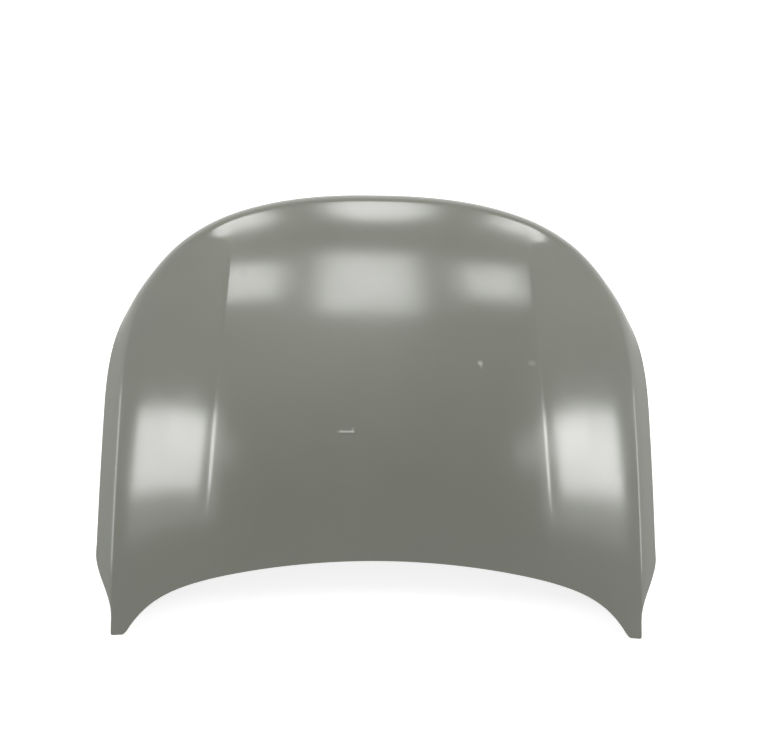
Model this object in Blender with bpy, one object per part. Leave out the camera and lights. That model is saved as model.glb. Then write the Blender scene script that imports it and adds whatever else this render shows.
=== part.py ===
"""Car bonnet, bare and primed, lying outer side up: pressed skin hemmed over an inner frame."""
import math

import bmesh
import bpy
import numpy as np
from mathutils import Vector
from mathutils.bvhtree import BVHTree
from mathutils.geometry import delaunay_2d_cdt

# Overall size in metres: nose towards +Y, outer side up
WIDTH = 1.533
LENGTH = 1.275

# Folded edge strip outside the shoulder line
SIDE_OUT = 0.0543
SIDE_DROP = 0.055
NOSE_OUT = 0.045
NOSE_DROP = 0.080
SIDE_LEAD = 0.006
STRIP_END = 0.046
STRIP_FULL = 0.227

# Plan of the shoulder line
HALF = WIDTH / 2 - SIDE_OUT
NOSE_Y = LENGTH / 2 - NOSE_OUT
TIP_Y = -LENGTH / 2
TIP_WIDTH = 0.0395
TIP_X = HALF - TIP_WIDTH
TIP_ROUND = 0.008
TIP_START = 0.985
REAR_SAG = 0.1024
PRONG_REACH = 0.0777
PRONG_POWER = 11.0
REAR_Y = TIP_Y + PRONG_REACH + REAR_SAG
CORNER_RUN = 0.5965
CORNER_Y = NOSE_Y - CORNER_RUN
CORNER_POWER = 2.5

# Crown of the outer face and its two lengthwise creases
CROWN_RUN = 0.2994
CROWN_Y = REAR_Y + CROWN_RUN
CROWN_LONG_R = 3.2
CROWN_CROSS_R = 4.5
NOSE_RUN = 0.4505
NOSE_START = NOSE_Y - NOSE_RUN
NOSE_BEND = 0.30
CREASE_IN = 0.2718
CREASE_X = HALF - CREASE_IN
CREASE_RAKE = 0.0469
CREASE_DEPTH = 0.010
CREASE_SPREAD = 0.045
FLANK_R = 0.62
CREASE_REAR_GAP = 0.012
CREASE_REAR = REAR_Y - CREASE_REAR_GAP
CREASE_FRONT_GAP = 0.072
CREASE_FRONT = NOSE_Y - CREASE_FRONT_GAP
CREASE_FADE = 0.12

# Sheet thicknesses, gaps and hem
SKIN = 0.0008
SHEET = 0.0007
GAP = 0.0003
HEM = 0.011
FOLD = 0.0009
FLANGE_CLEAR = 0.0005
JOGGLE = 0.0012

# Flat pads for the hinges and the latch, with their bolts
HINGE_IN = 0.132
HINGE_X = HALF - HINGE_IN
HINGE_AHEAD = 0.027
HINGE_Y = REAR_Y + HINGE_AHEAD
HINGE_HALF = (0.032, 0.042)
HINGE_ROUND = 0.012
HINGE_DEPTH = 0.026
HINGE_BOLT = 0.022
HINGE_HOLE = 0.0045
HINGE_PLATE = 0.0015
LATCH_BEHIND = 0.127
LATCH_Y = NOSE_Y - LATCH_BEHIND
LATCH_HALF = (0.130, 0.038)
LATCH_ROUND = 0.014
LATCH_DEPTH = 0.030
LATCH_BOLT = 0.034
LATCH_HOLE = 0.0035
LATCH_PLATE = 0.0012
PLATE_EDGE = 0.004

# Inner frame
FLOOR_DEPTH = 0.022
PRONG_DEPTH = 0.005
PRONG_START = 0.045
PRONG_FADE = 0.06
PRONG_IN = 0.32
SKIN_INSET = 0.014
REAR_INSET = 0.026
FRAME_INSET = 0.032
NOSE_HOLE_X = 0.322
NOSE_HOLE_BEHIND = 0.030
NOSE_HOLE_HALF = (0.042, 0.024)

# Fan of lengthwise beads with slots between them
BEAD_DEPTH = 0.0045
BEAD_HALF = 0.029
BEAD_WALL = 0.010
BEAD_SIDES = 3
FAN_MARGIN = 0.1237
FAN_REAR = 1.06
FAN_FRONT = 0.90
BEAD_PITCH = (HALF - FRAME_INSET - FAN_MARGIN) / (BEAD_SIDES + 0.5) / FAN_REAR
BEAD_REAR_GAP = 0.126
BEAD_REAR = REAR_Y + BEAD_REAR_GAP
BEAD_FRONT_GAP = 0.128
BEAD_FRONT = LATCH_Y - LATCH_HALF[1] - BEAD_FRONT_GAP
BEAD_REAR_STEP = 0.004
BEAD_FRONT_STEP = 0.012
SLOT_WEB = 0.0145
SLOT_HALF = FAN_FRONT * BEAD_PITCH / 2 - BEAD_HALF - SLOT_WEB
SLOT_SHORT = 0.030
SIDE_SLOT_SHORT = 0.156

# Striker
STRIKER_HALF = (0.046, 0.018)
STRIKER_ROUND = 0.010
STRIKER_PLATE = 0.003
WIRE_R = 0.004
LOOP_HALF = 0.022
LOOP_DROP = 0.044
LOOP_BEND = 0.012

# Nuts and bolts: width across the flats, bore or shank radius, height
HINGE_NUT = (0.013, 0.004, 0.0065)
STRIKER_NUT = (0.010, 0.0033, 0.005)
BOLT_HEAD = (0.010, 0.004)
BOLT_SHANK = (0.003, 0.015)

# Stiffener under the nose and mastic dabs
STIFF_HALF = (0.235, 0.060)
STIFF_ROUND = 0.030
STIFF_DEPTH = 0.005
FOOT_X = 0.100
FOOT_HALF = 0.016
FOOT_ROUND = 0.006
FOOT_WALL = 0.014
DAB_R = 0.014
DAB_FRONT = BEAD_FRONT - 0.128
DAB_REAR = BEAD_REAR + 0.121
DAB_NOSE_X = 0.175

# Mesh steps
HALF_STATIONS = 45
BEND_WEIGHT = 0.22
TAPER_WEIGHT = 0.30
STEP = 0.075
ROW_STEP = 0.055
FLANK_STEPS = (0.014, 0.034, 0.066, 0.11, 0.16, 0.21, 0.26)
GRID_CLEAR = 0.014
FILL_STEP = 0.07
FILL_CLEAR = 0.022
STIFF_STEP = 0.045
STIFF_CLEAR = 0.016

PAINT = (0.19, 0.20, 0.165, 1.0)
INNER = (0.16, 0.17, 0.14, 1.0)
ZINC = (0.55, 0.56, 0.55, 1.0)
MASTIC = (0.05, 0.05, 0.05, 1.0)


def clear_scene():
    """Remove whatever the new file holds."""
    for item in list(bpy.data.objects):
        bpy.data.objects.remove(item, do_unlink=True)


def smooth(t):
    """Soft step from 0 to 1."""
    t = np.clip(t, 0.0, 1.0)
    return t * t * (3.0 - 2.0 * t)


def crease_x(y):
    """Distance of the crease from the middle."""
    return CREASE_X - CREASE_RAKE * y


def crown(x, y):
    """Outer face inside the shoulder line, before it is laid on the floor."""
    z = -(y - CROWN_Y) ** 2 / (2 * CROWN_LONG_R) - x ** 2 / (2 * CROWN_CROSS_R)
    z = z - NOSE_BEND * np.maximum(0.0, y - NOSE_START) ** 3
    out = np.maximum(0.0, np.abs(x) - crease_x(y))
    fade = smooth((y - CREASE_REAR) / CREASE_FADE) * smooth((CREASE_FRONT - y) / CREASE_FADE)
    step = fade * CREASE_DEPTH * (1.0 - np.exp(-out / CREASE_SPREAD))
    return z - step - out ** 2 / (2 * FLANK_R)


class Lay:
    """Pitch and lift that rest the bonnet on the floor."""

    def __init__(self):
        self.pitch = 0.0
        self.lift = 0.0

    def top(self, x, y):
        """Height of the outer face."""
        return crown(x, y) - self.pitch * y + self.lift

    def normal(self, x, y):
        """Upward unit normal of the outer face."""
        e = 0.001
        dx = (self.top(x + e, y) - self.top(x - e, y)) / (2 * e)
        dy = (self.top(x, y + e) - self.top(x, y - e)) / (2 * e)
        n = np.stack([-dx, -dy, np.ones_like(dx)], -1)
        return n / np.linalg.norm(n, axis=-1, keepdims=True)


def strip_fade(y):
    """Share of the folded strip's full size: none beside the prong, all of it further on."""
    return smooth((y - TIP_Y - STRIP_END) / (STRIP_FULL - STRIP_END))


def rear_line(x):
    """Rear edge: a shallow sweep that turns back into the corner prong."""
    u = x / TIP_X
    return REAR_Y - REAR_SAG * u ** 2 - PRONG_REACH * u ** PRONG_POWER


def bend(a, corner, b, count=7):
    """Quadratic curve that rounds a corner."""
    a, corner, b = np.array(a), np.array(corner), np.array(b)
    t = np.linspace(0.0, 1.0, count)[:, None]
    return (1 - t) ** 2 * a + 2 * t * (1 - t) * corner + t ** 2 * b


def dense_half():
    """Shoulder line of the right half, rear centre to nose centre, finely stepped."""
    x = TIP_X * np.linspace(0.0, TIP_START, 200)
    rear = np.stack([x, rear_line(x)], 1)
    inner = bend(rear[-1], (TIP_X, TIP_Y), (TIP_X + TIP_ROUND, TIP_Y))
    outer = bend((HALF - TIP_ROUND, TIP_Y), (HALF, TIP_Y), (HALF, TIP_Y + TIP_ROUND))
    y = np.linspace(TIP_Y + TIP_ROUND, CORNER_Y, 80)
    side = np.stack([np.full_like(y, HALF), y], 1)
    turn = np.linspace(0.0, math.pi / 2, 260)
    c = np.maximum(np.cos(turn), 0.0) ** (2 / CORNER_POWER)
    s = np.sin(turn) ** (2 / CORNER_POWER)
    front = np.stack([HALF * c, CORNER_Y + (NOSE_Y - CORNER_Y) * s], 1)
    line = np.concatenate([rear, inner[1:], outer, side[1:], front[1:]])
    return line


def pick(line, count):
    """Stations along the line, closer together where it turns, with outward normals."""
    step = np.diff(line, axis=0)
    length = np.hypot(step[:, 0], step[:, 1])
    heading = np.unwrap(np.arctan2(step[:, 1], step[:, 0]))
    weight = length.copy()
    weight[1:] += BEND_WEIGHT * np.abs(np.diff(heading))
    outer = line[1:, 0] > TIP_X + TIP_WIDTH / 2
    weight += TAPER_WEIGHT * outer * np.abs(np.diff(strip_fade(line[:, 1])))
    run = np.concatenate([[0.0], np.cumsum(weight)])
    at = np.linspace(0.0, run[-1], count)
    points = np.stack([np.interp(at, run, line[:, k]) for k in (0, 1)], 1)
    mid = (run[1:] + run[:-1]) / 2
    angle = np.interp(at, mid, heading)
    out = np.stack([np.sin(angle), -np.cos(angle)], 1)
    out[0] = (0.0, -1.0)
    out[-1] = (0.0, 1.0)
    return points, out


def mirrored(half):
    """Close a half line with its mirror image."""
    other = half[-2:0:-1].copy()
    other[:, 0] *= -1
    return np.concatenate([half, other])


def room(points, out, line):
    """Radius of the largest circle that touches each station from inside."""
    rel = line[None, :, :] - points[:, None, :]
    depth = -(rel * out[:, None, :]).sum(-1)
    square = (rel ** 2).sum(-1)
    ok = depth > 0.05 * np.sqrt(square)
    radius = np.where(ok, square / (2 * np.where(ok, depth, 1.0)), 10.0)
    return radius.min(axis=1)


class Edge:
    """Stations round the bonnet and the outward profile of each one."""

    def __init__(self, lay):
        half = dense_half()
        points, out = pick(half, HALF_STATIONS)
        self.points = mirrored(points)
        self.out = mirrored(out)
        self.count = len(self.points)
        self.room = room(self.points, self.out, mirrored(half))
        self.lay = lay
        self.shape_strip()
        self.trace()

    def shape_strip(self):
        """Reach, drop and lead of the folded strip at every station."""
        ny = self.out[:, 1]
        y = self.points[:, 1]
        front = smooth((ny - 0.15) / 0.5)
        soft = smooth((ny - 0.12) / 0.35)
        full = strip_fade(y)
        self.rise = full * smooth((ny + 0.35) / 0.3)
        self.reach = (SIDE_OUT + (NOSE_OUT - SIDE_OUT) * front) * self.rise
        self.drop = (SIDE_DROP + (NOSE_DROP - SIDE_DROP) * front) * self.rise
        self.lead = (SIDE_LEAD * (1 - soft) + soft * NOSE_OUT) * self.rise
        limit = SKIN_INSET + (REAR_INSET - SKIN_INSET) * (1 - self.rise)
        self.inset = np.minimum(limit, 0.6 * self.room)
        self.hem = np.minimum(HEM, 0.3 * self.room)

    def trace(self):
        """Finely stepped profile of every station from the inset line to the edge."""
        p, n = self.points[:, None, :], self.out[:, None, :]
        back = self.inset[:, None] * np.linspace(1.0, 0.0, 13)[None, :]
        plan = p - n * back[:, :, None]
        top = self.lay.top(plan[..., 0], plan[..., 1])
        near = self.points - self.out * 0.001
        z0 = self.lay.top(self.points[:, 0], self.points[:, 1])
        slope = (self.lay.top(near[:, 0], near[:, 1]) - z0) / 0.001
        t = np.linspace(0.0, 1.0, 33)[None, 1:]
        out = 2 * t * (1 - t) * self.lead[:, None] + t * t * self.reach[:, None]
        fall = 2 * t * (1 - t) * (self.lead * slope)[:, None] + t * t * self.drop[:, None]
        strip = p + n * out[:, :, None]
        xy = np.concatenate([plan, strip], 1)
        z = np.concatenate([top, z0[:, None] - fall], 1)
        self.path = np.concatenate([xy, z[:, :, None]], 2)
        step = np.linalg.norm(np.diff(self.path, axis=1), axis=2)
        self.run = np.concatenate([np.zeros((self.count, 1)), np.cumsum(step, 1)], 1)
        self.length = self.run[:, -1]

    def row(self, back):
        """Points on the outer face that lie a given path length back from the edge."""
        at = self.length - back
        rows = [
            [np.interp(at[i], self.run[i], self.path[i, :, k]) for k in range(3)]
            for i in range(self.count)
        ]
        return np.array(rows)

    def normals(self, back):
        """Outward unit normals of the outer face on a row."""
        here = self.row(back)
        inner = self.row(np.minimum(back + 0.0015, self.length))
        outer = self.row(np.maximum(back - 0.0015, 0.0))
        along = np.roll(here, -1, 0) - np.roll(here, 1, 0)
        n = np.cross(outer - inner, along)
        n /= np.linalg.norm(n, axis=1)[:, None]
        return n


def settle(lay):
    """Pitch and lift the shape until its front and rear feet both stand at zero."""
    for _ in range(6):
        edge = Edge(lay)
        zero = np.zeros(edge.count)
        end = edge.row(zero)
        under = end - edge.normals(zero) * hem_stack()
        feet = np.concatenate([end, under])
        front = feet[feet[:, 1] > 0]
        rear = feet[feet[:, 1] <= 0]
        a = front[np.argmin(front[:, 2])]
        b = rear[np.argmin(rear[:, 2])]
        lay.pitch += (a[2] - b[2]) / (a[1] - b[1])
    edge = Edge(lay)
    end = edge.row(zero)
    under = end - edge.normals(zero) * hem_stack()
    lay.lift -= min(end[:, 2].min(), under[:, 2].min())
    return Edge(lay)


def hem_stack():
    """Thickness of skin, flange and return with their gaps."""
    return 2 * SKIN + 2 * GAP + SHEET


def inside(points, loop):
    """Which plan points lie inside a closed loop."""
    x, y = points[:, :1], points[:, 1:2]
    a, b = loop, np.roll(loop, -1, 0)
    spans = (a[:, 1] > y) != (b[:, 1] > y)
    rise = np.where(a[:, 1] == b[:, 1], 1.0, b[:, 1] - a[:, 1])
    at = (b[:, 0] - a[:, 0]) * (y - a[:, 1]) / rise + a[:, 0]
    return (spans & (x < at)).sum(axis=1) % 2 == 1


def clear_of(points, loops, gap):
    """Which plan points keep a distance from every loop."""
    keep = np.ones(len(points), bool)
    for loop in loops:
        d = np.roll(loop, -1, 0) - loop
        rel = points[:, None, :] - loop[None, :, :]
        t = np.clip((rel * d).sum(-1) / (d * d).sum(-1), 0.0, 1.0)
        off = np.linalg.norm(rel - t[..., None] * d, axis=2)
        keep &= off.min(axis=1) > gap
    return keep


def rounded(cx, cy, hx, hy, r, lean=0.0, per_corner=3):
    """Rectangle or slot with rounded corners, stepped along its straight sides."""
    points = []
    for k, (sx, sy) in enumerate(((1, 1), (-1, 1), (-1, -1), (1, -1))):
        for j in range(per_corner + 1):
            a = math.pi / 2 * (k + j / per_corner)
            points.append((sx * (hx - r) + r * math.cos(a), sy * (hy - r) + r * math.sin(a)))
    kept = [p for i, p in enumerate(points) if math.dist(p, points[i - 1]) > 1e-6]
    loop = divide(np.array(kept), STEP)
    c, s = math.cos(lean), math.sin(lean)
    turned = loop @ np.array([[c, s], [-s, c]])
    return turned + (cx, cy)


def divide(loop, step):
    """Split the long sides of a loop."""
    out = []
    for a, b in zip(loop, np.roll(loop, -1, 0)):
        count = max(1, math.ceil(math.dist(a, b) / step))
        out += [a + (b - a) * k / count for k in range(count)]
    return np.array(out)


def circle(cx, cy, r, count=10):
    """Round loop whose flats stand at the stated radius."""
    a = 2 * math.pi * (np.arange(count) + 0.5) / count
    big = r / math.cos(math.pi / count)
    return np.stack([cx + big * np.cos(a), cy + big * np.sin(a)], 1)


def triangulate(loops, holes, extra=None, lines=()):
    """Triangles between the first loop and the holes, through every loop and line."""
    points, edges, rings = [], [], []
    for loop in loops + holes:
        start = len(points)
        ring = list(range(start, start + len(loop)))
        points += [tuple(p) for p in loop]
        edges += list(zip(ring, ring[1:] + ring[:1]))
        rings.append(ring)
    for line in lines:
        start = len(points)
        points += [tuple(p) for p in line]
        edges += [(start + k, start + k + 1) for k in range(len(line) - 1)]
    if extra is not None:
        points += [tuple(p) for p in extra]
    plan = [Vector(p) for p in points]
    result = delaunay_2d_cdt(plan, edges, [], 0, 1e-7)
    xy = np.array([tuple(v) for v in result[0]])
    tris = np.array(result[2])
    centre = xy[tris].mean(axis=1)
    keep = inside(centre, loops[0])
    for hole in holes:
        keep &= ~inside(centre, hole)
    return xy, tris[keep], rings


def band(a, b):
    """Triangles between two rings that have the same stations."""
    out = []
    count = len(a)
    for i in range(count):
        j = (i + 1) % count
        out.append((a[i], a[j], b[j]))
        out.append((a[i], b[j], b[i]))
    return out


def vertex_offsets(points, tris, thickness):
    """Vectors that move every point inwards by the sheet's thickness."""
    a, b, c = points[tris[:, 0]], points[tris[:, 1]], points[tris[:, 2]]
    face = np.cross(b - a, c - a)
    face /= np.linalg.norm(face, axis=1)[:, None]
    total = np.zeros_like(points)
    for k in range(3):
        p, q, r = points[tris[:, k]], points[tris[:, k - 2]], points[tris[:, k - 1]]
        u, v = q - p, r - p
        u /= np.linalg.norm(u, axis=1)[:, None]
        v /= np.linalg.norm(v, axis=1)[:, None]
        angle = np.arccos(np.clip((u * v).sum(1), -1, 1))
        np.add.at(total, tris[:, k], face * angle[:, None])
    n = total / np.linalg.norm(total, axis=1)[:, None]
    dot = np.zeros(len(points))
    share = np.zeros(len(points))
    for k in range(3):
        np.add.at(dot, tris[:, k], (face * n[tris[:, k]]).sum(1))
        np.add.at(share, tris[:, k], 1.0)
    scale = thickness / np.maximum(0.6, dot / np.maximum(share, 1.0))
    return n * scale[:, None]


def finish_of(name, color, metallic, roughness):
    """Plain material of one piece."""
    mat = bpy.data.materials.new(name)
    mat.use_nodes = True
    shader = mat.node_tree.nodes["Principled BSDF"]
    shader.inputs["Base Color"].default_value = color
    shader.inputs["Metallic"].default_value = metallic
    shader.inputs["Roughness"].default_value = roughness
    return mat


def add_piece(name, points, faces, look):
    """Make one named closed piece with outward faces."""
    mesh = bpy.data.meshes.new(name)
    mesh.from_pydata([tuple(map(float, p)) for p in points], [], [tuple(map(int, f)) for f in faces])
    bm = bmesh.new()
    bm.from_mesh(mesh)
    bmesh.ops.recalc_face_normals(bm, faces=bm.faces)
    bm.to_mesh(mesh)
    bm.free()
    mesh.materials.append(finish_of(name, *look))
    item = bpy.data.objects.new(name, mesh)
    bpy.context.scene.collection.objects.link(item)
    return item


def tree_of(item):
    """Search tree over a finished piece."""
    verts = [v.co.copy() for v in item.data.vertices]
    return BVHTree.FromPolygons(verts, [tuple(p.vertices) for p in item.data.polygons])


def skin_rows(edge):
    """Distances back from the edge of the rows between the inset line and the hem."""
    span = edge.length - edge.hem
    shoulder = edge.inset / np.maximum(edge.length - edge.hem, 1e-6)
    first = np.where(edge.rise > 0.4, shoulder, 0.2)
    parts = [first, first + 0.10 * (1 - first), first + 0.28 * (1 - first), first + 0.6 * (1 - first)]
    return [edge.length] + [edge.length - span * part for part in parts] + [edge.hem]


def skin_grid(loop):
    """Points of the skin inside the inset line, and the two crease lines."""
    rows = np.arange(TIP_Y + ROW_STEP / 2, NOSE_Y, ROW_STEP)
    grid, lines = [], []
    for side in (-1, 1):
        line = np.array([(side * crease_x(y), y) for y in rows])
        good = inside(line, loop) & clear_of(line, [loop], GRID_CLEAR)
        lines.append(line[good])
    for y in rows:
        c = crease_x(y)
        inner = [k * c / 3 for k in range(-2, 3)]
        flank = [side * (c + step) for side in (-1, 1) for step in FLANK_STEPS]
        grid += [(x, y) for x in inner + flank]
    grid = np.array(grid)
    return grid[inside(grid, loop) & clear_of(grid, [loop], GRID_CLEAR)], lines


def build_skin(edge):
    """Outer skin with its edge folded back over the inner frame's flange."""
    lay = edge.lay
    backs = skin_rows(edge)
    outer = [edge.row(b) for b in backs] + [edge.row(np.zeros(edge.count))]
    norms = [edge.normals(b) for b in backs] + [edge.normals(np.zeros(edge.count))]
    loop = outer[0][:, :2]
    norms[0] = lay.normal(loop[:, 0], loop[:, 1])
    grid, lines = skin_grid(loop)
    xy, tris, _ = triangulate([loop], [], grid, lines)
    top = np.column_stack([xy, lay.top(xy[:, 0], xy[:, 1])])
    low = top - SKIN * lay.normal(xy[:, 0], xy[:, 1])
    hem, end = outer[-2], outer[-1]
    hem_n, end_n = norms[-2], norms[-1]
    part = (FOLD / edge.hem)[:, None]
    fold = end + (hem - end) * part
    fold_n = end_n + (hem_n - end_n) * part
    fold_n /= np.linalg.norm(fold_n, axis=1)[:, None]
    stack, inner = hem_stack(), hem_stack() - SKIN
    rings = outer[1:]
    rings += [end - end_n * stack, hem - hem_n * stack, hem - hem_n * inner]
    rings += [fold - fold_n * inner, fold - fold_n * SKIN]
    rings += [row - n * SKIN for row, n in zip(outer[-2:0:-1], norms[-2:0:-1])]
    count, size = edge.count, len(top)
    points = np.concatenate([top, low] + rings)
    ids = [list(range(2 * size + k * count, 2 * size + (k + 1) * count)) for k in range(len(rings))]
    first, last = list(range(count)), list(range(size, size + count))
    turn = len(outer) - 1
    chain = [first] + ids + [last]
    faces = [tuple(t) for t in tris] + [tuple(t + size) for t in tris[:, ::-1]]
    for k, (a, b) in enumerate(zip(chain, chain[1:])):
        # Both faces of the sheet are split along the same diagonals
        outwards = k < turn or k == turn + 3
        faces += band(a, b) if outwards else band(b, a)
    return add_piece("outer_skin", points, faces, (PAINT, 0.0, 0.35))


def floor_depth(x, y):
    """Depth of the frame's floor below the outer face: shallow in the rear prongs."""
    behind = smooth((REAR_Y - PRONG_START - y) / PRONG_FADE)
    prong = behind * smooth((np.abs(x) - HALF + PRONG_IN) / PRONG_FADE)
    return FLOOR_DEPTH + (PRONG_DEPTH - FLOOR_DEPTH) * prong


def fan_line(k, rear, front):
    """Ends of a lengthwise bead or slot in the fan."""
    a = np.array([FAN_REAR * BEAD_PITCH * k, rear])
    b = np.array([FAN_FRONT * BEAD_PITCH * k, front])
    return a, b


def fan_loop(k, rear, front, half):
    """Slot-shaped loop along a line of the fan."""
    a, b = fan_line(k, rear, front)
    mid = (a + b) / 2
    d = b - a
    lean = math.atan2(d[1], d[0]) - math.pi / 2
    reach = float(np.linalg.norm(d)) / 2 + half
    return rounded(mid[0], mid[1], half, reach, half, lean)


def bead_ends(k):
    """Rear and front end of a bead."""
    return BEAD_REAR - BEAD_REAR_STEP * abs(k), BEAD_FRONT - BEAD_FRONT_STEP * k * k


def hinge_holes(side):
    """Bolt positions on a hinge pad."""
    return [(side * HINGE_X, HINGE_Y + d * HINGE_BOLT) for d in (-1, 1)]


def latch_holes():
    """Bolt positions on the latch pad."""
    return [(side * LATCH_BOLT, LATCH_Y) for side in (-1, 1)]


def hinge_z(lay):
    """Height of the hinge pads' upper face."""
    return float(lay.top(np.float64(HINGE_X), np.float64(HINGE_Y))) - HINGE_DEPTH


def latch_z(lay):
    """Height of the latch pad's upper face."""
    return float(lay.top(np.float64(0.0), np.float64(LATCH_Y))) - LATCH_DEPTH


def frame_loops():
    """Beads, pads and openings of the inner frame in plan."""
    beads, tops, cuts, pads, bolts = [], [], [], [], []
    for k in range(-BEAD_SIDES, BEAD_SIDES + 1):
        rear, front = bead_ends(k)
        beads.append(fan_loop(k, rear, front, BEAD_HALF))
        tops.append(fan_loop(k, rear, front, BEAD_HALF - BEAD_WALL))
    for k in range(-BEAD_SIDES, BEAD_SIDES):
        rear, front = bead_ends(k + 0.5)
        cuts.append(fan_loop(k + 0.5, rear + SLOT_SHORT, front - SLOT_SHORT, SLOT_HALF))
    hole_y = LATCH_Y - NOSE_HOLE_BEHIND
    for side in (-1, 1):
        m = side * (BEAD_SIDES + 0.5)
        ends = (BEAD_REAR + SIDE_SLOT_SHORT, BEAD_FRONT - SIDE_SLOT_SHORT)
        cuts.append(fan_loop(m, *ends, SLOT_HALF))
        cuts.append(rounded(side * NOSE_HOLE_X, hole_y, *NOSE_HOLE_HALF, NOSE_HOLE_HALF[1]))
        pads.append((rounded(side * HINGE_X, HINGE_Y, *HINGE_HALF, HINGE_ROUND), "hinge"))
        bolts += [circle(x, y, HINGE_HOLE) for x, y in hinge_holes(side)]
    pads.append((rounded(0.0, LATCH_Y, *LATCH_HALF, LATCH_ROUND), "latch"))
    bolts += [circle(x, y, LATCH_HOLE) for x, y in latch_holes()]
    return beads, tops, cuts, pads, bolts


def filler(loop, loops, holes, step, gap):
    """Grid points that fill the space between the loops, outside the holes."""
    xs = np.arange(-HALF, HALF + step, step)
    ys = np.arange(TIP_Y, NOSE_Y + step, step)
    grid = np.array([(x, y) for y in ys for x in xs])
    keep = inside(grid, loop) & clear_of(grid, loops + holes, gap)
    for hole in holes:
        keep &= ~inside(grid, hole)
    return grid[keep]


def frame_edge(edge):
    """Rows of the frame's flange and of the wall that leads to its floor."""
    hem = edge.hem
    end, end_n = edge.row(np.zeros(edge.count)), edge.normals(np.zeros(edge.count))
    row, row_n = edge.row(hem), edge.normals(hem)
    part = ((FOLD + FLANGE_CLEAR) / hem)[:, None]
    tip = end + (row - end) * part
    tip_n = end_n + (row_n - end_n) * part
    tip_n /= np.linalg.norm(tip_n, axis=1)[:, None]
    bend_row, bend_n = edge.row(1.3 * hem), edge.normals(1.3 * hem)
    near, far = SKIN + GAP, SKIN + GAP + SHEET
    deep = (near + JOGGLE * hem / HEM)[:, None]
    upper = [tip - tip_n * near, row - row_n * near, bend_row - bend_n * deep]
    lower = [tip - tip_n * far, row - row_n * far]
    inset = np.minimum(FRAME_INSET, 0.68 * edge.room)
    plan = edge.points - edge.out * inset[:, None]
    depth = np.minimum(floor_depth(plan[:, 0], plan[:, 1]), 0.3 * edge.room)
    base = np.column_stack([plan, edge.lay.top(plan[:, 0], plan[:, 1]) - depth])
    flat = (0.45 + 0.15 * edge.rise)[:, None]
    tall = 0.75 - 0.60 * edge.rise
    mid = upper[2] + (base - upper[2]) * flat
    mid[:, 2] = upper[2][:, 2] + (base[:, 2] - upper[2][:, 2]) * tall
    return upper + [mid, base], lower


def frame_heights(lay, xy, rings, base, beads, pads):
    """Height of every plan point of the frame, and which points lie on flat pads."""
    top = lay.top(xy[:, 0], xy[:, 1])
    z = top - floor_depth(xy[:, 0], xy[:, 1])
    z[rings[0]] = base[:, 2]
    flat = np.zeros(len(xy), bool)
    for k in range(beads):
        ring = rings[1 + beads + k]
        on_top = inside(xy, xy[ring])
        on_top[ring] = True
        z[on_top] = top[on_top] - BEAD_DEPTH
    level = {"hinge": hinge_z(lay), "latch": latch_z(lay)}
    for ring, kind in zip(rings[1 + 2 * beads:], pads):
        on_pad = inside(xy, xy[ring])
        on_pad[ring] = True
        z[on_pad] = level[kind]
        flat |= on_pad
    return z, flat


def build_frame(edge):
    """Inner frame: one pressed sheet with flange, channel, beads, pads and openings."""
    upper, lower = frame_edge(edge)
    beads, tops, cuts, pads, bolts = frame_loops()
    loop = upper[-1][:, :2]
    loops = [loop] + beads + tops + [p for p, _ in pads]
    holes = cuts + bolts
    extra = filler(loop, loops, holes, FILL_STEP, FILL_CLEAR)
    xy, tris, rings = triangulate(loops, holes, extra)
    kinds = [kind for _, kind in pads]
    z, flat = frame_heights(edge.lay, xy, rings, upper[-1], len(beads), kinds)
    top = np.column_stack([xy, z])
    size, count = len(top), edge.count
    sheet = np.concatenate([top] + upper[:-1])
    ids = [list(range(size + k * count, size + (k + 1) * count)) for k in range(4)]
    faces = [tuple(t) for t in tris]
    floor = rings[0]
    for a, b in zip([floor] + ids[:0:-1], ids[::-1]):
        faces += [t[::-1] for t in band(a, b)]
    faces = np.array(faces)
    a, b, c = sheet[faces[0][0]], sheet[faces[0][1]], sheet[faces[0][2]]
    if np.cross(b - a, c - a)[2] < 0:
        faces = faces[:, ::-1]
    under = sheet - vertex_offsets(sheet, faces, SHEET)
    under[:size][flat] = top[flat] - (0.0, 0.0, SHEET)
    under[ids[0]] = lower[0]
    under[ids[1]] = lower[1]
    total = len(sheet)
    solid = [tuple(f) for f in faces] + [tuple(f + total) for f in faces[:, ::-1]]
    for ring in [ids[0]] + rings[len(loops):]:
        solid += band(ring, [k + total for k in ring])
    points = np.concatenate([sheet, under])
    return add_piece("inner_frame", points, solid, (INNER, 0.0, 0.45))


def build_plate(name, loop, holes, z0, z1, look):
    """Flat plate with holes."""
    xy, tris, rings = triangulate([loop], holes)
    size = len(xy)
    points = np.concatenate([np.column_stack([xy, np.full(size, z)]) for z in (z0, z1)])
    faces = [tuple(t) for t in tris] + [tuple(t + size) for t in tris[:, ::-1]]
    for ring in rings:
        faces += band(ring, [k + size for k in ring])
    return add_piece(name, points, faces, look)


def hexagon(r, count=12):
    """Ring of a hexagon measured to its corners, with a point in each flat."""
    a = 2 * math.pi * np.arange(count) / count
    radius = np.where(np.arange(count) % 2 == 0, r, r * math.cos(math.pi / 6))
    return np.stack([radius * np.cos(a), radius * np.sin(a)], 1)


def disc(r, count=12):
    """Round ring."""
    a = 2 * math.pi * np.arange(count) / count
    return np.stack([r * np.cos(a), r * np.sin(a)], 1)


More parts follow.
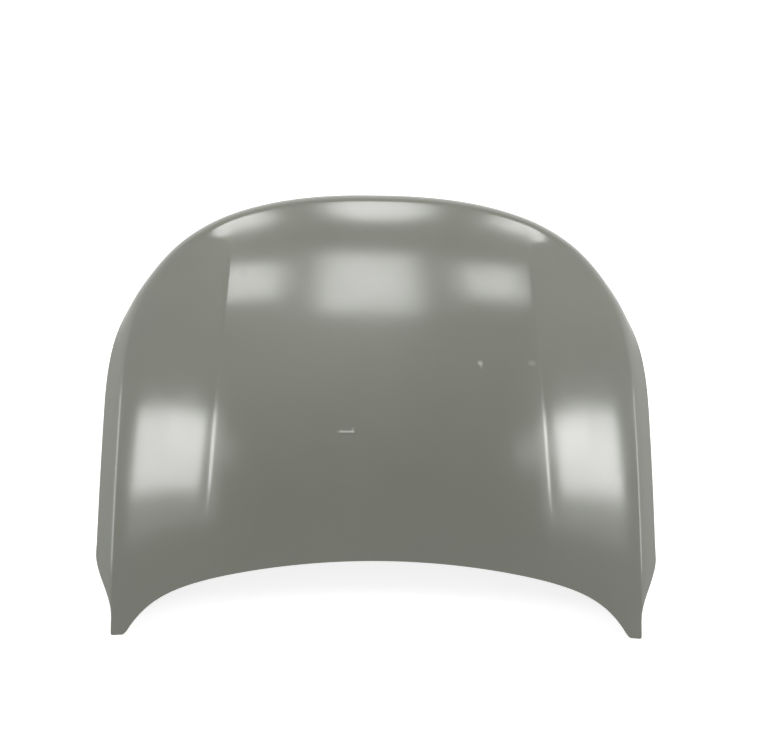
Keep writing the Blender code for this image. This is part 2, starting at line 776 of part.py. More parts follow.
def build_nut(name, x, y, z, across, bore, height):
    """Weld nut standing on a plate."""
    out, hole = hexagon(across / math.sqrt(3)), disc(bore)
    levels = [(out, 0.0), (out, height), (hole, height), (hole, 0.0)]
    rings = [np.column_stack([ring + (x, y), np.full(12, z + dz)]) for ring, dz in levels]
    ids = [list(range(12 * k, 12 * k + 12)) for k in range(4)]
    faces = []
    for a, b in zip(ids, ids[1:] + ids[:1]):
        faces += band(a, b)
    return add_piece(name, np.concatenate(rings), faces, (ZINC, 0.9, 0.4))


def build_bolt(name, x, y, z, shank, length, across, head):
    """Bolt with a hexagon head below and its shank pointing up."""
    out, core = hexagon(across / math.sqrt(3)), disc(shank)
    levels = [(out, -head), (out, 0.0), (core, 0.0), (core, length)]
    rings = [np.column_stack([ring + (x, y), np.full(12, z + dz)]) for ring, dz in levels]
    ids = [list(range(12 * k, 12 * k + 12)) for k in range(4)]
    faces = [tuple(ids[0][::-1]), tuple(ids[3])]
    for a, b in zip(ids, ids[1:]):
        faces += band(a, b)
    return add_piece(name, np.concatenate(rings), faces, (ZINC, 0.9, 0.35))


def loop_path():
    """Middle line of the striker's wire, in the XZ plane, from one leg's end to the other's."""
    leg = LOOP_DROP - LOOP_BEND
    path = [(-LOOP_HALF, 0.0), (-LOOP_HALF, -leg)]
    for side, start in ((-1, math.pi), (1, 1.5 * math.pi)):
        cx = side * (LOOP_HALF - LOOP_BEND)
        for k in range(1, 6):
            a = start + math.pi / 2 * k / 6
            path.append((cx + LOOP_BEND * math.cos(a), -leg + LOOP_BEND * math.sin(a)))
        if side < 0:
            path += [(cx, -LOOP_DROP), (-cx, -LOOP_DROP)]
    path += [(LOOP_HALF, -leg), (LOOP_HALF, 0.0)]
    return np.array(path)


def build_loop(z, y):
    """Striker loop: a round wire bent to a U."""
    path = loop_path()
    ahead = np.gradient(path, axis=0)
    ahead[0], ahead[-1] = (0.0, -1.0), (0.0, 1.0)
    ahead /= np.linalg.norm(ahead, axis=1)[:, None]
    a = 2 * math.pi * np.arange(12) / 12
    rings = []
    for (px, pz), (dx, dz) in zip(path, ahead):
        u = WIRE_R * np.cos(a)
        ring = [px + u * dz, y + WIRE_R * np.sin(a), z + pz - u * dx]
        rings.append(np.stack(ring, 1))
    ids = [list(range(12 * k, 12 * k + 12)) for k in range(len(rings))]
    faces = [tuple(ids[0][::-1]), tuple(ids[-1])]
    for p, q in zip(ids, ids[1:]):
        faces += band(p, q)
    return add_piece("striker_loop", np.concatenate(rings), faces, (ZINC, 0.9, 0.3))


def build_stiffener(lay):
    """Dent stiffener close under the nose, on two flat feet."""
    loop = rounded(0.0, LATCH_Y, *STIFF_HALF, STIFF_ROUND)
    wall, turn = FOOT_HALF + FOOT_WALL, FOOT_ROUND + FOOT_WALL / 2
    walls = [rounded(side * FOOT_X, LATCH_Y, wall, wall, turn) for side in (-1, 1)]
    feet = [rounded(side * FOOT_X, LATCH_Y, FOOT_HALF, FOOT_HALF, FOOT_ROUND) for side in (-1, 1)]
    loops = [loop] + walls + feet
    extra = filler(loop, loops, [], STIFF_STEP, STIFF_CLEAR)
    xy, tris, rings = triangulate(loops, [], extra)
    z = lay.top(xy[:, 0], xy[:, 1]) - STIFF_DEPTH
    seat = latch_z(lay) + 2 * GAP + LATCH_PLATE + SHEET
    flat = np.zeros(len(xy), bool)
    for ring in rings[3:5]:
        on_foot = inside(xy, xy[ring])
        on_foot[ring] = True
        z[on_foot] = seat
        flat |= on_foot
    top = np.column_stack([xy, z])
    a, b, c = top[tris[0]]
    if np.cross(b - a, c - a)[2] < 0:
        tris = tris[:, ::-1]
    low = top - vertex_offsets(top, tris, SHEET)
    low[flat] = top[flat] - (0.0, 0.0, SHEET)
    size = len(top)
    faces = [tuple(t) for t in tris] + [tuple(t + size) for t in tris[:, ::-1]]
    faces += band(rings[0], [k + size for k in rings[0]])
    points = np.concatenate([top, low])
    return add_piece("palm_stiffener", points, faces, (INNER, 0.0, 0.5))


def height_at(tree, x, y, start, way):
    """Height where a vertical ray meets a piece, nudged off the mesh's edges."""
    nudge = 0.00002
    hit = tree.ray_cast(Vector((x + nudge, y + 2 * nudge, start)), Vector((0, 0, way)))[0]
    if hit is None:
        hit = tree.ray_cast(Vector((x - nudge, y - 3 * nudge, start)), Vector((0, 0, way)))[0]
    return hit.z


def build_dab(name, lay, x, y, above, below):
    """Soft mastic dab squeezed between two sheets."""
    a = 2 * math.pi * np.arange(8) / 8
    plan = np.stack([x + DAB_R * np.cos(a), y + DAB_R * np.sin(a)], 1)
    plan = np.concatenate([plan, [(x, y)]])
    starts = lay.top(plan[:, 0], plan[:, 1]) - (SKIN + BEAD_DEPTH) / 2
    high, low = [], []
    for (px, py), start in zip(plan, starts):
        high.append((px, py, height_at(above, px, py, start, 1) - GAP))
        low.append((px, py, height_at(below, px, py, start, -1) + GAP))
    ring, other = list(range(8)), list(range(9, 17))
    faces = [(8, ring[k], ring[(k + 1) % 8]) for k in range(8)]
    faces += [(17, other[(k + 1) % 8], other[k]) for k in range(8)]
    faces += band(ring, other)
    return add_piece(name, high + low, faces, (MASTIC, 0.0, 0.7))


def add_hinges(lay):
    """Reinforcement plates and weld nuts over the hinge pads."""
    z = hinge_z(lay)
    size = [half - PLATE_EDGE for half in HINGE_HALF]
    for side, word in ((-1, "left"), (1, "right")):
        loop = rounded(side * HINGE_X, HINGE_Y, *size, HINGE_ROUND)
        holes = [circle(x, y, HINGE_HOLE) for x, y in hinge_holes(side)]
        base = z + GAP
        build_plate("hinge_plate_" + word, loop, holes, base, base + HINGE_PLATE, (INNER, 0.0, 0.5))
        for end, (x, y) in zip(("rear", "front"), hinge_holes(side)):
            seat = base + HINGE_PLATE + GAP
            build_nut("hinge_nut_%s_%s" % (word, end), x, y, seat, *HINGE_NUT)


def add_latch(lay):
    """Latch reinforcement, nuts, striker plate, its bolts and the wire loop."""
    z = latch_z(lay)
    holes = [circle(x, y, LATCH_HOLE) for x, y in latch_holes()]
    size = [half - PLATE_EDGE for half in LATCH_HALF]
    top = rounded(0.0, LATCH_Y, *size, LATCH_ROUND)
    base = z + GAP
    build_plate("latch_plate", top, holes, base, base + LATCH_PLATE, (INNER, 0.0, 0.5))
    under = z - SHEET - GAP
    foot = rounded(0.0, LATCH_Y, *STRIKER_HALF, STRIKER_ROUND)
    build_plate("striker_plate", foot, holes, under - STRIKER_PLATE, under, (ZINC, 0.9, 0.4))
    for word, (x, y) in zip(("left", "right"), latch_holes()):
        seat = base + LATCH_PLATE + GAP
        build_nut("striker_nut_" + word, x, y, seat, *STRIKER_NUT)
        head = under - STRIKER_PLATE - GAP
        build_bolt("striker_bolt_" + word, x, y, head, *BOLT_SHANK, *BOLT_HEAD)
    build_loop(under - STRIKER_PLATE - GAP, LATCH_Y)


def add_mastic(lay, skin, frame, stiffener):
    """Mastic dabs on every bead top and on the stiffener."""
    above, below, nose = tree_of(skin), tree_of(frame), tree_of(stiffener)
    number = 1
    for k in range(-BEAD_SIDES, BEAD_SIDES + 1):
        rear, front = bead_ends(k)
        a, b = fan_line(k, rear, front)
        for y in (DAB_REAR, DAB_FRONT):
            x = a[0] + (b[0] - a[0]) * (y - a[1]) / (b[1] - a[1])
            build_dab("mastic_%02d" % number, lay, x, y, above, below)
            number += 1
    for side in (-1, 1):
        build_dab("mastic_%02d" % number, lay, side * DAB_NOSE_X, LATCH_Y, above, nose)
        number += 1


def main():
    """Build every piece of the bonnet."""
    clear_scene()
    lay = Lay()
    edge = settle(lay)
    skin = build_skin(edge)
    frame = build_frame(edge)
    add_hinges(lay)
    add_latch(lay)
    stiffener = build_stiffener(lay)
    add_mastic(lay, skin, frame, stiffener)


main()
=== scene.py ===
"""Looks of a bare, primed car bonnet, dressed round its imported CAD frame."""

import logging
import math
from dataclasses import dataclass, field
from enum import Enum
from typing import Any

import bmesh
import bpy
import numpy as np
from bpy.types import Material, Mesh, NodeSocket, Object
from mathutils import Matrix, Quaternion, Vector
from mathutils.geometry import delaunay_2d_cdt


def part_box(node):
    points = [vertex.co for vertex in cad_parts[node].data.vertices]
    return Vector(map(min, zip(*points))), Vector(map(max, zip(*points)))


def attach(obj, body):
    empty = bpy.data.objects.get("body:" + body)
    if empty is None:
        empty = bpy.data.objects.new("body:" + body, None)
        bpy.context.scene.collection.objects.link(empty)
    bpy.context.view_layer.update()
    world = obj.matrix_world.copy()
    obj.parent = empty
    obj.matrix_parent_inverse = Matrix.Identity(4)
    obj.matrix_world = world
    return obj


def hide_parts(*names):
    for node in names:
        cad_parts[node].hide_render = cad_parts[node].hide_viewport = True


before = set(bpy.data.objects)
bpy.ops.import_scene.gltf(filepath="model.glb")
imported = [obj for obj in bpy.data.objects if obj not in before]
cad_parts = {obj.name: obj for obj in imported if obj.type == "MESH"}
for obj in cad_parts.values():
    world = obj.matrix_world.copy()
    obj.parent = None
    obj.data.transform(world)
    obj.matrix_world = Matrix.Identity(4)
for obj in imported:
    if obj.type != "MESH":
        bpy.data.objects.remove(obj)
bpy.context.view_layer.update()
LOG = logging.getLogger("bonnet")

Array = np.ndarray
Color = tuple[float, float, float]
Pair = tuple[float, float]
Triple = tuple[float, float, float]


class Side(Enum):
    """Left and right half of the bonnet, with the sign of X."""

    LEFT = -1
    RIGHT = 1


class Slot(Enum):
    """Names of the material slots."""

    SKIN = "skin_primer"
    FRAME = "frame_primer"
    ZINC = "zinc_steel"
    MASTIC = "mastic"


def smooth(t: Array) -> Array:
    """Soft step from 0 to 1."""
    t = np.clip(t, 0.0, 1.0)
    return t * t * (3.0 - 2.0 * t)


def unit(v: Array) -> Array:
    """Vectors scaled to length one."""
    return v / np.maximum(np.linalg.norm(v, axis=-1, keepdims=True), 1e-12)


def add_object(name: str, data: bpy.types.ID) -> Object:
    """New object of the scene.

    Args:
        name: its name.
        data: its mesh, lamp or camera.

    Returns:
        The object.
    """
    item = bpy.data.objects.new(name, data)
    bpy.context.scene.collection.objects.link(item)
    return item


def mesh_points(mesh: Mesh) -> Array:
    """Places of a mesh's points.

    Args:
        mesh: the mesh.

    Returns:
        Its points, one to a row.
    """
    flat = np.zeros(len(mesh.vertices) * 3)
    mesh.vertices.foreach_get("co", flat)
    return flat.reshape(-1, 3)


class Value:
    """A value socket that takes part in Python expressions."""

    def __init__(self, graph: "Graph", socket: NodeSocket) -> None:
        """Wrap a socket of a graph."""
        self.graph = graph
        self.socket = socket

    def join(self, operation: str, other: Any, swap: bool = False) -> "Value":
        """Math node of this value and another, which comes first with swap."""
        a, b = (other, self) if swap else (self, other)
        return self.graph.node(self.graph.math, {"operation": operation}, {0: a, 1: b})

    def __add__(self, other: Any) -> "Value":
        """Sum."""
        return self.join("ADD", other)

    __radd__ = __add__

    def __sub__(self, other: Any) -> "Value":
        """Difference."""
        return self.join("SUBTRACT", other)

    def __rsub__(self, other: Any) -> "Value":
        """Difference from a number."""
        return self.join("SUBTRACT", other, swap=True)

    def __mul__(self, other: Any) -> "Value":
        """Product."""
        return self.join("MULTIPLY", other)

    __rmul__ = __mul__

    def __truediv__(self, other: Any) -> "Value":
        """Quotient."""
        return self.join("DIVIDE", other)

    def __pow__(self, other: Any) -> "Value":
        """Power."""
        return self.join("POWER", other)

    def __abs__(self) -> "Value":
        """Distance from zero."""
        return self.join("ABSOLUTE", 0.0)

    def also(self, output: int | str) -> "Value":
        """Another output of the node that this value comes from."""
        return Value(self.graph, self.socket.node.outputs[output])

    def most(self, other: Any) -> "Value":
        """Larger of the two."""
        return self.join("MAXIMUM", other)

    def least(self, other: Any) -> "Value":
        """Smaller of the two."""
        return self.join("MINIMUM", other)

    def ramp(self, low: float, high: float) -> "Value":
        """Soft step from 0 at one value to 1 at another.

        Args:
            low: value that gives 0.
            high: value that gives 1.

        Returns:
            The step.
        """
        settings = {"interpolation_type": "SMOOTHSTEP"}
        values = {"Value": self, "From Min": low, "From Max": high}
        return self.graph.node("ShaderNodeMapRange", settings, values)


class Graph:
    """A shader or geometry node tree with one method for every node."""

    math = "ShaderNodeMath"

    def __init__(self, tree: bpy.types.NodeTree) -> None:
        """Add nodes to a tree."""
        self.tree = tree

    def node(self, kind: str, settings: dict | None = None, values: dict | None = None,
             out: int | str = 0) -> Value:
        """Add a node.

        Args:
            kind: the node's type.
            settings: its properties, set before the sockets.
            values: links or constants of its sockets, by name or number.
            out: the output to return.

        Returns:
            The chosen output.
        """
        node = self.tree.nodes.new(kind)
        for key, value in (settings or {}).items():
            setattr(node, key, value)
        for key, value in (values or {}).items():
            self.feed(node.inputs[key], value)
        return Value(self, node.outputs[out])

    def feed(self, socket: NodeSocket, value: Any) -> None:
        """Link a value to a socket, or set the socket's constant.

        Args:
            socket: the socket.
            value: a value to link, or a constant.
        """
        if isinstance(value, Value):
            self.tree.links.new(value.socket, socket)
        elif isinstance(value, tuple) and len(value) == 3 and socket.type == "RGBA":
            socket.default_value = (*value, 1.0)
        else:
            socket.default_value = value

    def mix(self, factor: Any, a: Any, b: Any) -> Value:
        """Colour between two colours."""
        settings = {"data_type": "RGBA"}
        return self.node("ShaderNodeMix", settings, {0: factor, 6: a, 7: b}, out=2)


@dataclass(frozen=True)
class Pattern:
    """Noise over a surface, in features per metre, and the span of it that counts as 0 to 1."""

    scale: float
    detail: float
    rough: float
    span: Pair | None = None
    stretch: Color | None = None


class ShaderGraph(Graph):
    """Nodes of one material, with the patterns that the finishes share."""

    def __init__(self, name: str) -> None:
        """New material.

        Args:
            name: its name.
        """
        self.material = bpy.data.materials.new(name)
        self.material.use_nodes = True
        super().__init__(self.material.node_tree)
        self.shader = self.tree.nodes["Principled BSDF"]
        self.place = self.node("ShaderNodeTexCoord", out="Object")

    def noise(self, pattern: Pattern) -> Value:
        """Noise over the surface.

        Args:
            pattern: its size, layers, span and stretch.

        Returns:
            The noise, from 0 to 1.
        """
        where = self.place
        if pattern.stretch:
            values = {"Vector": where, "Scale": pattern.stretch}
            where = self.node("ShaderNodeMapping", None, values)
        values = {"Vector": where, "Scale": pattern.scale, "Detail": pattern.detail,
                  "Roughness": pattern.rough}
        made = self.node("ShaderNodeTexNoise", None, values)
        return made.ramp(*pattern.span) if pattern.span else made

    def axes(self) -> tuple[Value, Value, Value]:
        """Place along X, Y and Z."""
        first = self.node("ShaderNodeSeparateXYZ", None, {0: self.place})
        return first, first.also(1), first.also(2)

    def patch(self, centre: Pair, half: Pair, soft: float) -> Value:
        """Soft-edged oval patch seen from above.

        Args:
            centre: its middle in X and Y.
            half: half its size in X and Y.
            soft: width of its edge as a share of its size.

        Returns:
            1 inside the patch, 0 outside.
        """
        x, y, _ = self.axes()
        u = (x - centre[0]) / half[0]
        v = (y - centre[1]) / half[1]
        return 1.0 - ((u * u + v * v) ** 0.5).ramp(1.0 - soft, 1.0 + soft)

    def bar(self, centre: Pair, half: Pair, soft: float) -> Value:
        """Soft-edged bar seen from above; its edge is a share of its width along Y.

        Args:
            centre: its middle in X and Y.
            half: half its size in X and Y.
            soft: width of its edge as a share of its half width along Y.

        Returns:
            1 inside the bar, 0 outside.
        """
        x, y, _ = self.axes()
        edge = soft * half[1]
        across = 1.0 - abs(x - centre[0]).ramp(half[0] - edge, half[0] + edge)
        along = 1.0 - abs(y - centre[1]).ramp(half[1] - edge, half[1] + edge)
        return across * along

    def bump(self, height: Value, distance: float) -> Value:
        """Normal from a height in shares of a distance."""
        values = {"Strength": 1.0, "Distance": distance, "Height": height}
        return self.node("ShaderNodeBump", None, values)

    def set(self, **values: Any) -> Material:
        """Feed the material's own shader.

        Args:
            values: links or constants, named as the shader's sockets with _ for a space.

        Returns:
            The finished material.
        """
        for key, value in values.items():
            self.feed(self.shader.inputs[key.replace("_", " ")], value)
        return self.material


@dataclass(frozen=True)
class MarkOrPaintedShadow:
    """A small spot of colour on the primer, placed in X and Y: an oval patch, or a bar. One is a
    painted shadow; the rest are blemishes.
    """

    name: str
    centre: Pair
    half: Pair
    soft: float
    color: Color
    strength: float
    bar: bool = False


@dataclass(frozen=True)
class SkinPrimer:
    """Semi-gloss grey-green dip primer of the outer side, with its few blemishes and the painted
    shadow under its chip.
    """

    color: Color = (0.149, 0.156, 0.124)
    cloud_color: Color = (0.140, 0.147, 0.119)
    roughness: float = 0.155
    ior: float = 1.62
    cloud: Pattern = Pattern(2.6, 3.0, 0.55, (0.35, 0.65))
    cloud_dull: float = 0.03
    film: Pattern = Pattern(17.0, 3.0, 0.6, (0.3, 0.7))
    film_share: float = 0.10
    film_dull: float = 0.02
    peel: Pattern = Pattern(230.0, 2.0, 0.45)
    peel_height: float = 0.05
    wave: Pattern = Pattern(5.5, 1.0, 0.4)
    wave_height: float = 4.0
    relief: float = 0.00005
    outer_fade: Pair = (0.0, 0.2)
    # Blemishes on the primer, and one painted shadow: the dark bar under the light chip.
    marks_and_painted_shadow: tuple[MarkOrPaintedShadow, ...] = (
        MarkOrPaintedShadow("light chip", (-0.0905, -0.1140), (0.0190, 0.0026), 0.85,
             (0.50, 0.51, 0.47), 0.64, bar=True),
        MarkOrPaintedShadow("start of the chip", (-0.1085, -0.1140), (0.0070, 0.0026), 0.90,
             (0.40, 0.41, 0.37), 0.35),
        MarkOrPaintedShadow("burr at its end", (-0.0745, -0.1105), (0.0036, 0.0060), 0.80,
             (0.46, 0.47, 0.43), 0.30),
        # Painted shadow: a dark bar that stands in for the shade just under the light chip.
        MarkOrPaintedShadow("edge under the chip", (-0.0900, -0.1205), (0.0200, 0.0032), 0.80,
             (0.10, 0.10, 0.09), 0.30, bar=True),
        MarkOrPaintedShadow("fleck", (0.2712, 0.0860), (0.0058, 0.0060), 0.80, (0.50, 0.51, 0.46), 0.50),
        MarkOrPaintedShadow("tail of the fleck", (0.2735, 0.0792), (0.0036, 0.0070), 0.85,
             (0.44, 0.45, 0.40), 0.24),
        MarkOrPaintedShadow("faint smudge", (0.4150, 0.0922), (0.0100, 0.0072), 0.65,
             (0.32, 0.325, 0.27), 0.27),
        MarkOrPaintedShadow("dark spot", (-0.3832, 0.3496), (0.0120, 0.0140), 0.70, (0.10, 0.10, 0.09), 0.30),
    )

    def material(self) -> Material:
        """Make the primer.

        Returns:
            Its material, whose blemishes and painted shadow show on the outer side only.
        """
        g = ShaderGraph(Slot.SKIN.value)
        cloud, film = g.noise(self.cloud), g.noise(self.film)
        facing = g.node("ShaderNodeTexCoord", out="Normal")
        upward = g.node("ShaderNodeSeparateXYZ", None, {0: facing}, out="Z")
        outer = upward.ramp(*self.outer_fade)
        color = g.mix(cloud, self.color, self.cloud_color)
        color = g.mix(film * self.film_share, color, self.cloud_color)
        # Mixes in the blemishes and the painted shadow under the chip.
        for mark_or_painted_shadow in self.marks_and_painted_shadow:
            shape = g.bar if mark_or_painted_shadow.bar else g.patch
            mask = shape(mark_or_painted_shadow.centre, mark_or_painted_shadow.half, mark_or_painted_shadow.soft) * outer * mark_or_painted_shadow.strength
            color = g.mix(mask, color, mark_or_painted_shadow.color)
        height = g.noise(self.peel) * self.peel_height + g.noise(self.wave) * self.wave_height
        rough = self.roughness + (cloud - 0.5) * self.cloud_dull + (film - 0.5) * self.film_dull
        return g.set(Base_Color=color, Roughness=rough, IOR=self.ior,
                     Normal=g.bump(height, self.relief))


@dataclass(frozen=True)
class FramePrimer:
    """Thinner, duller dip primer of the inner pressings, with faint runs and specks."""

    color: Color = (0.150, 0.154, 0.130)
    thin_color: Color = (0.118, 0.121, 0.106)
    run_color: Color = (0.176, 0.178, 0.152)
    speck_color: Color = (0.085, 0.087, 0.078)
    roughness: float = 0.42
    ior: float = 1.52
    cloud: Pattern = Pattern(7.0, 4.0, 0.6, (0.35, 0.68))
    cloud_share: float = 0.8
    cloud_dull: float = 0.10
    runs: Pattern = Pattern(38.0, 2.0, 0.5, (0.52, 0.74), (1.0, 0.12, 1.0))
    runs_share: float = 0.22
    runs_height: float = 0.5
    runs_gloss: float = 0.06
    speck: Pattern = Pattern(520.0, 1.0, 0.5, (0.70, 0.78))
    speck_share: float = 0.20
    grain: Pattern = Pattern(160.0, 2.0, 0.5)
    grain_height: float = 0.35
    relief: float = 0.00010

    def material(self, name: str = Slot.FRAME.value) -> Material:
        """Make the primer.

        Args:
            name: the material's name.

        Returns:
            Its material.
        """
        g = ShaderGraph(name)
        cloud, runs = g.noise(self.cloud), g.noise(self.runs)
        color = g.mix(cloud * self.cloud_share, self.color, self.thin_color)
        color = g.mix(runs * self.runs_share, color, self.run_color)
        color = g.mix(g.noise(self.speck) * self.speck_share, color, self.speck_color)
        height = g.noise(self.grain) * self.grain_height + runs * self.runs_height
        rough = self.roughness + (cloud - 0.5) * self.cloud_dull - runs * self.runs_gloss
        return g.set(Base_Color=color, Roughness=rough, IOR=self.ior,
                     Normal=g.bump(height, self.relief))


@dataclass(frozen=True)
class ZincSteel:
    """Bright zinc plate with spangled clouding and duller worn spots."""

    color: Color = (0.60, 0.61, 0.60)
    dull_color: Color = (0.42, 0.43, 0.43)
    tint_color: Color = (0.58, 0.54, 0.40)
    roughness: float = 0.30
    metal: float = 0.95
    cloud: Pattern = Pattern(110.0, 4.0, 0.65, (0.35, 0.7))
    cloud_dull: float = 0.16
    grain: Pattern = Pattern(900.0, 2.0, 0.5)
    grain_dull: float = 0.08
    tint: Pattern = Pattern(45.0, 1.0, 0.5, (0.45, 0.75))
    tint_share: float = 0.25
    relief: float = 0.00004

    def material(self) -> Material:
        """Make the plating.

        Returns:
            Its material.
        """
        g = ShaderGraph(Slot.ZINC.value)
        cloud, grain = g.noise(self.cloud), g.noise(self.grain)
        color = g.mix(cloud, self.color, self.dull_color)
        color = g.mix(g.noise(self.tint) * self.tint_share, color, self.tint_color)
        rough = self.roughness + cloud * self.cloud_dull + (grain - 0.5) * self.grain_dull
        return g.set(Base_Color=color, Roughness=rough, Metallic=self.metal,
                     Normal=g.bump(grain, self.relief))


@dataclass(frozen=True)
class Mastic:
    """Matt dark anti-flutter mastic with a grainy skin."""

    color: Color = (0.030, 0.030, 0.032)
    dusty_color: Color = (0.075, 0.075, 0.078)
    roughness: float = 0.72
    grain: Pattern = Pattern(340.0, 3.0, 0.6)
    grain_dull: float = 0.15
    dusty: Pair = (0.45, 0.75)
    relief: float = 0.0006

    def material(self) -> Material:
        """Make the mastic.

        Returns:
            Its material.
        """
        g = ShaderGraph(Slot.MASTIC.value)
        grain = g.noise(self.grain)
        color = g.mix(grain.ramp(*self.dusty), self.color, self.dusty_color)
        rough = self.roughness + (grain - 0.5) * self.grain_dull
        return g.set(Base_Color=color, Roughness=rough, Normal=g.bump(grain, self.relief))


@dataclass(frozen=True)
class Sealer:
    """Hem sealer under the primer: a soft, slightly lighter bead."""

    color: Color = (0.185, 0.188, 0.158)
    shade_color: Color = (0.130, 0.132, 0.112)
    roughness: float = 0.50
    cloud: Pattern = Pattern(60.0, 3.0, 0.6)
    cloud_dull: float = 0.2
    shaded: Pair = (0.35, 0.7)
    fine: Pattern = Pattern(300.0, 2.0, 0.5)
    relief: float = 0.0004

    def material(self) -> Material:
        """Make the sealer.

        Returns:
            Its material.
        """
        g = ShaderGraph("hem_sealer")
        cloud, fine = g.noise(self.cloud), g.noise(self.fine)
        color = g.mix(cloud.ramp(*self.shaded), self.color, self.shade_color)
        rough = self.roughness + (cloud - 0.5) * self.cloud_dull
        return g.set(Base_Color=color, Roughness=rough, Normal=g.bump(fine + cloud, self.relief))


@dataclass(frozen=True)
class Backdrop:
    """Pale floor that reads white and keeps the object's shadow."""

    color: Color = (0.70, 0.70, 0.70)
    tone_color: Color = (0.67, 0.67, 0.67)
    roughness: float = 0.9
    ior: float = 1.3
    tone: Pattern = Pattern(0.8, 1.0, 0.4, (0.2, 0.8))
    tone_share: float = 0.03
    glow: float = 0.74

    def material(self) -> Material:
        """Make the floor's material.

        Returns:
            Its material.
        """
        g = ShaderGraph("pale_floor")
        path = g.node("ShaderNodeLightPath")
        seen = path.also("Is Camera Ray").most(path.also("Is Glossy Ray"))
        seen = seen.most(path.also("Is Transmission Ray"))
        color = g.mix(g.noise(self.tone) * self.tone_share, self.color, self.tone_color)
        g.set(Base_Color=color, Roughness=self.roughness, IOR=self.ior)
        plain = Value(g, g.shader.outputs[0])
        light = g.node("ShaderNodeEmission", None,
                       {"Color": (1.0, 1.0, 1.0), "Strength": self.glow})
        both = g.node("ShaderNodeAddShader", None, {0: plain, 1: light})
        out = g.tree.nodes["Material Output"].inputs["Surface"]
        g.feed(out, g.node("ShaderNodeMixShader", None, {0: seen, 1: plain, 2: both}))
        return g.material


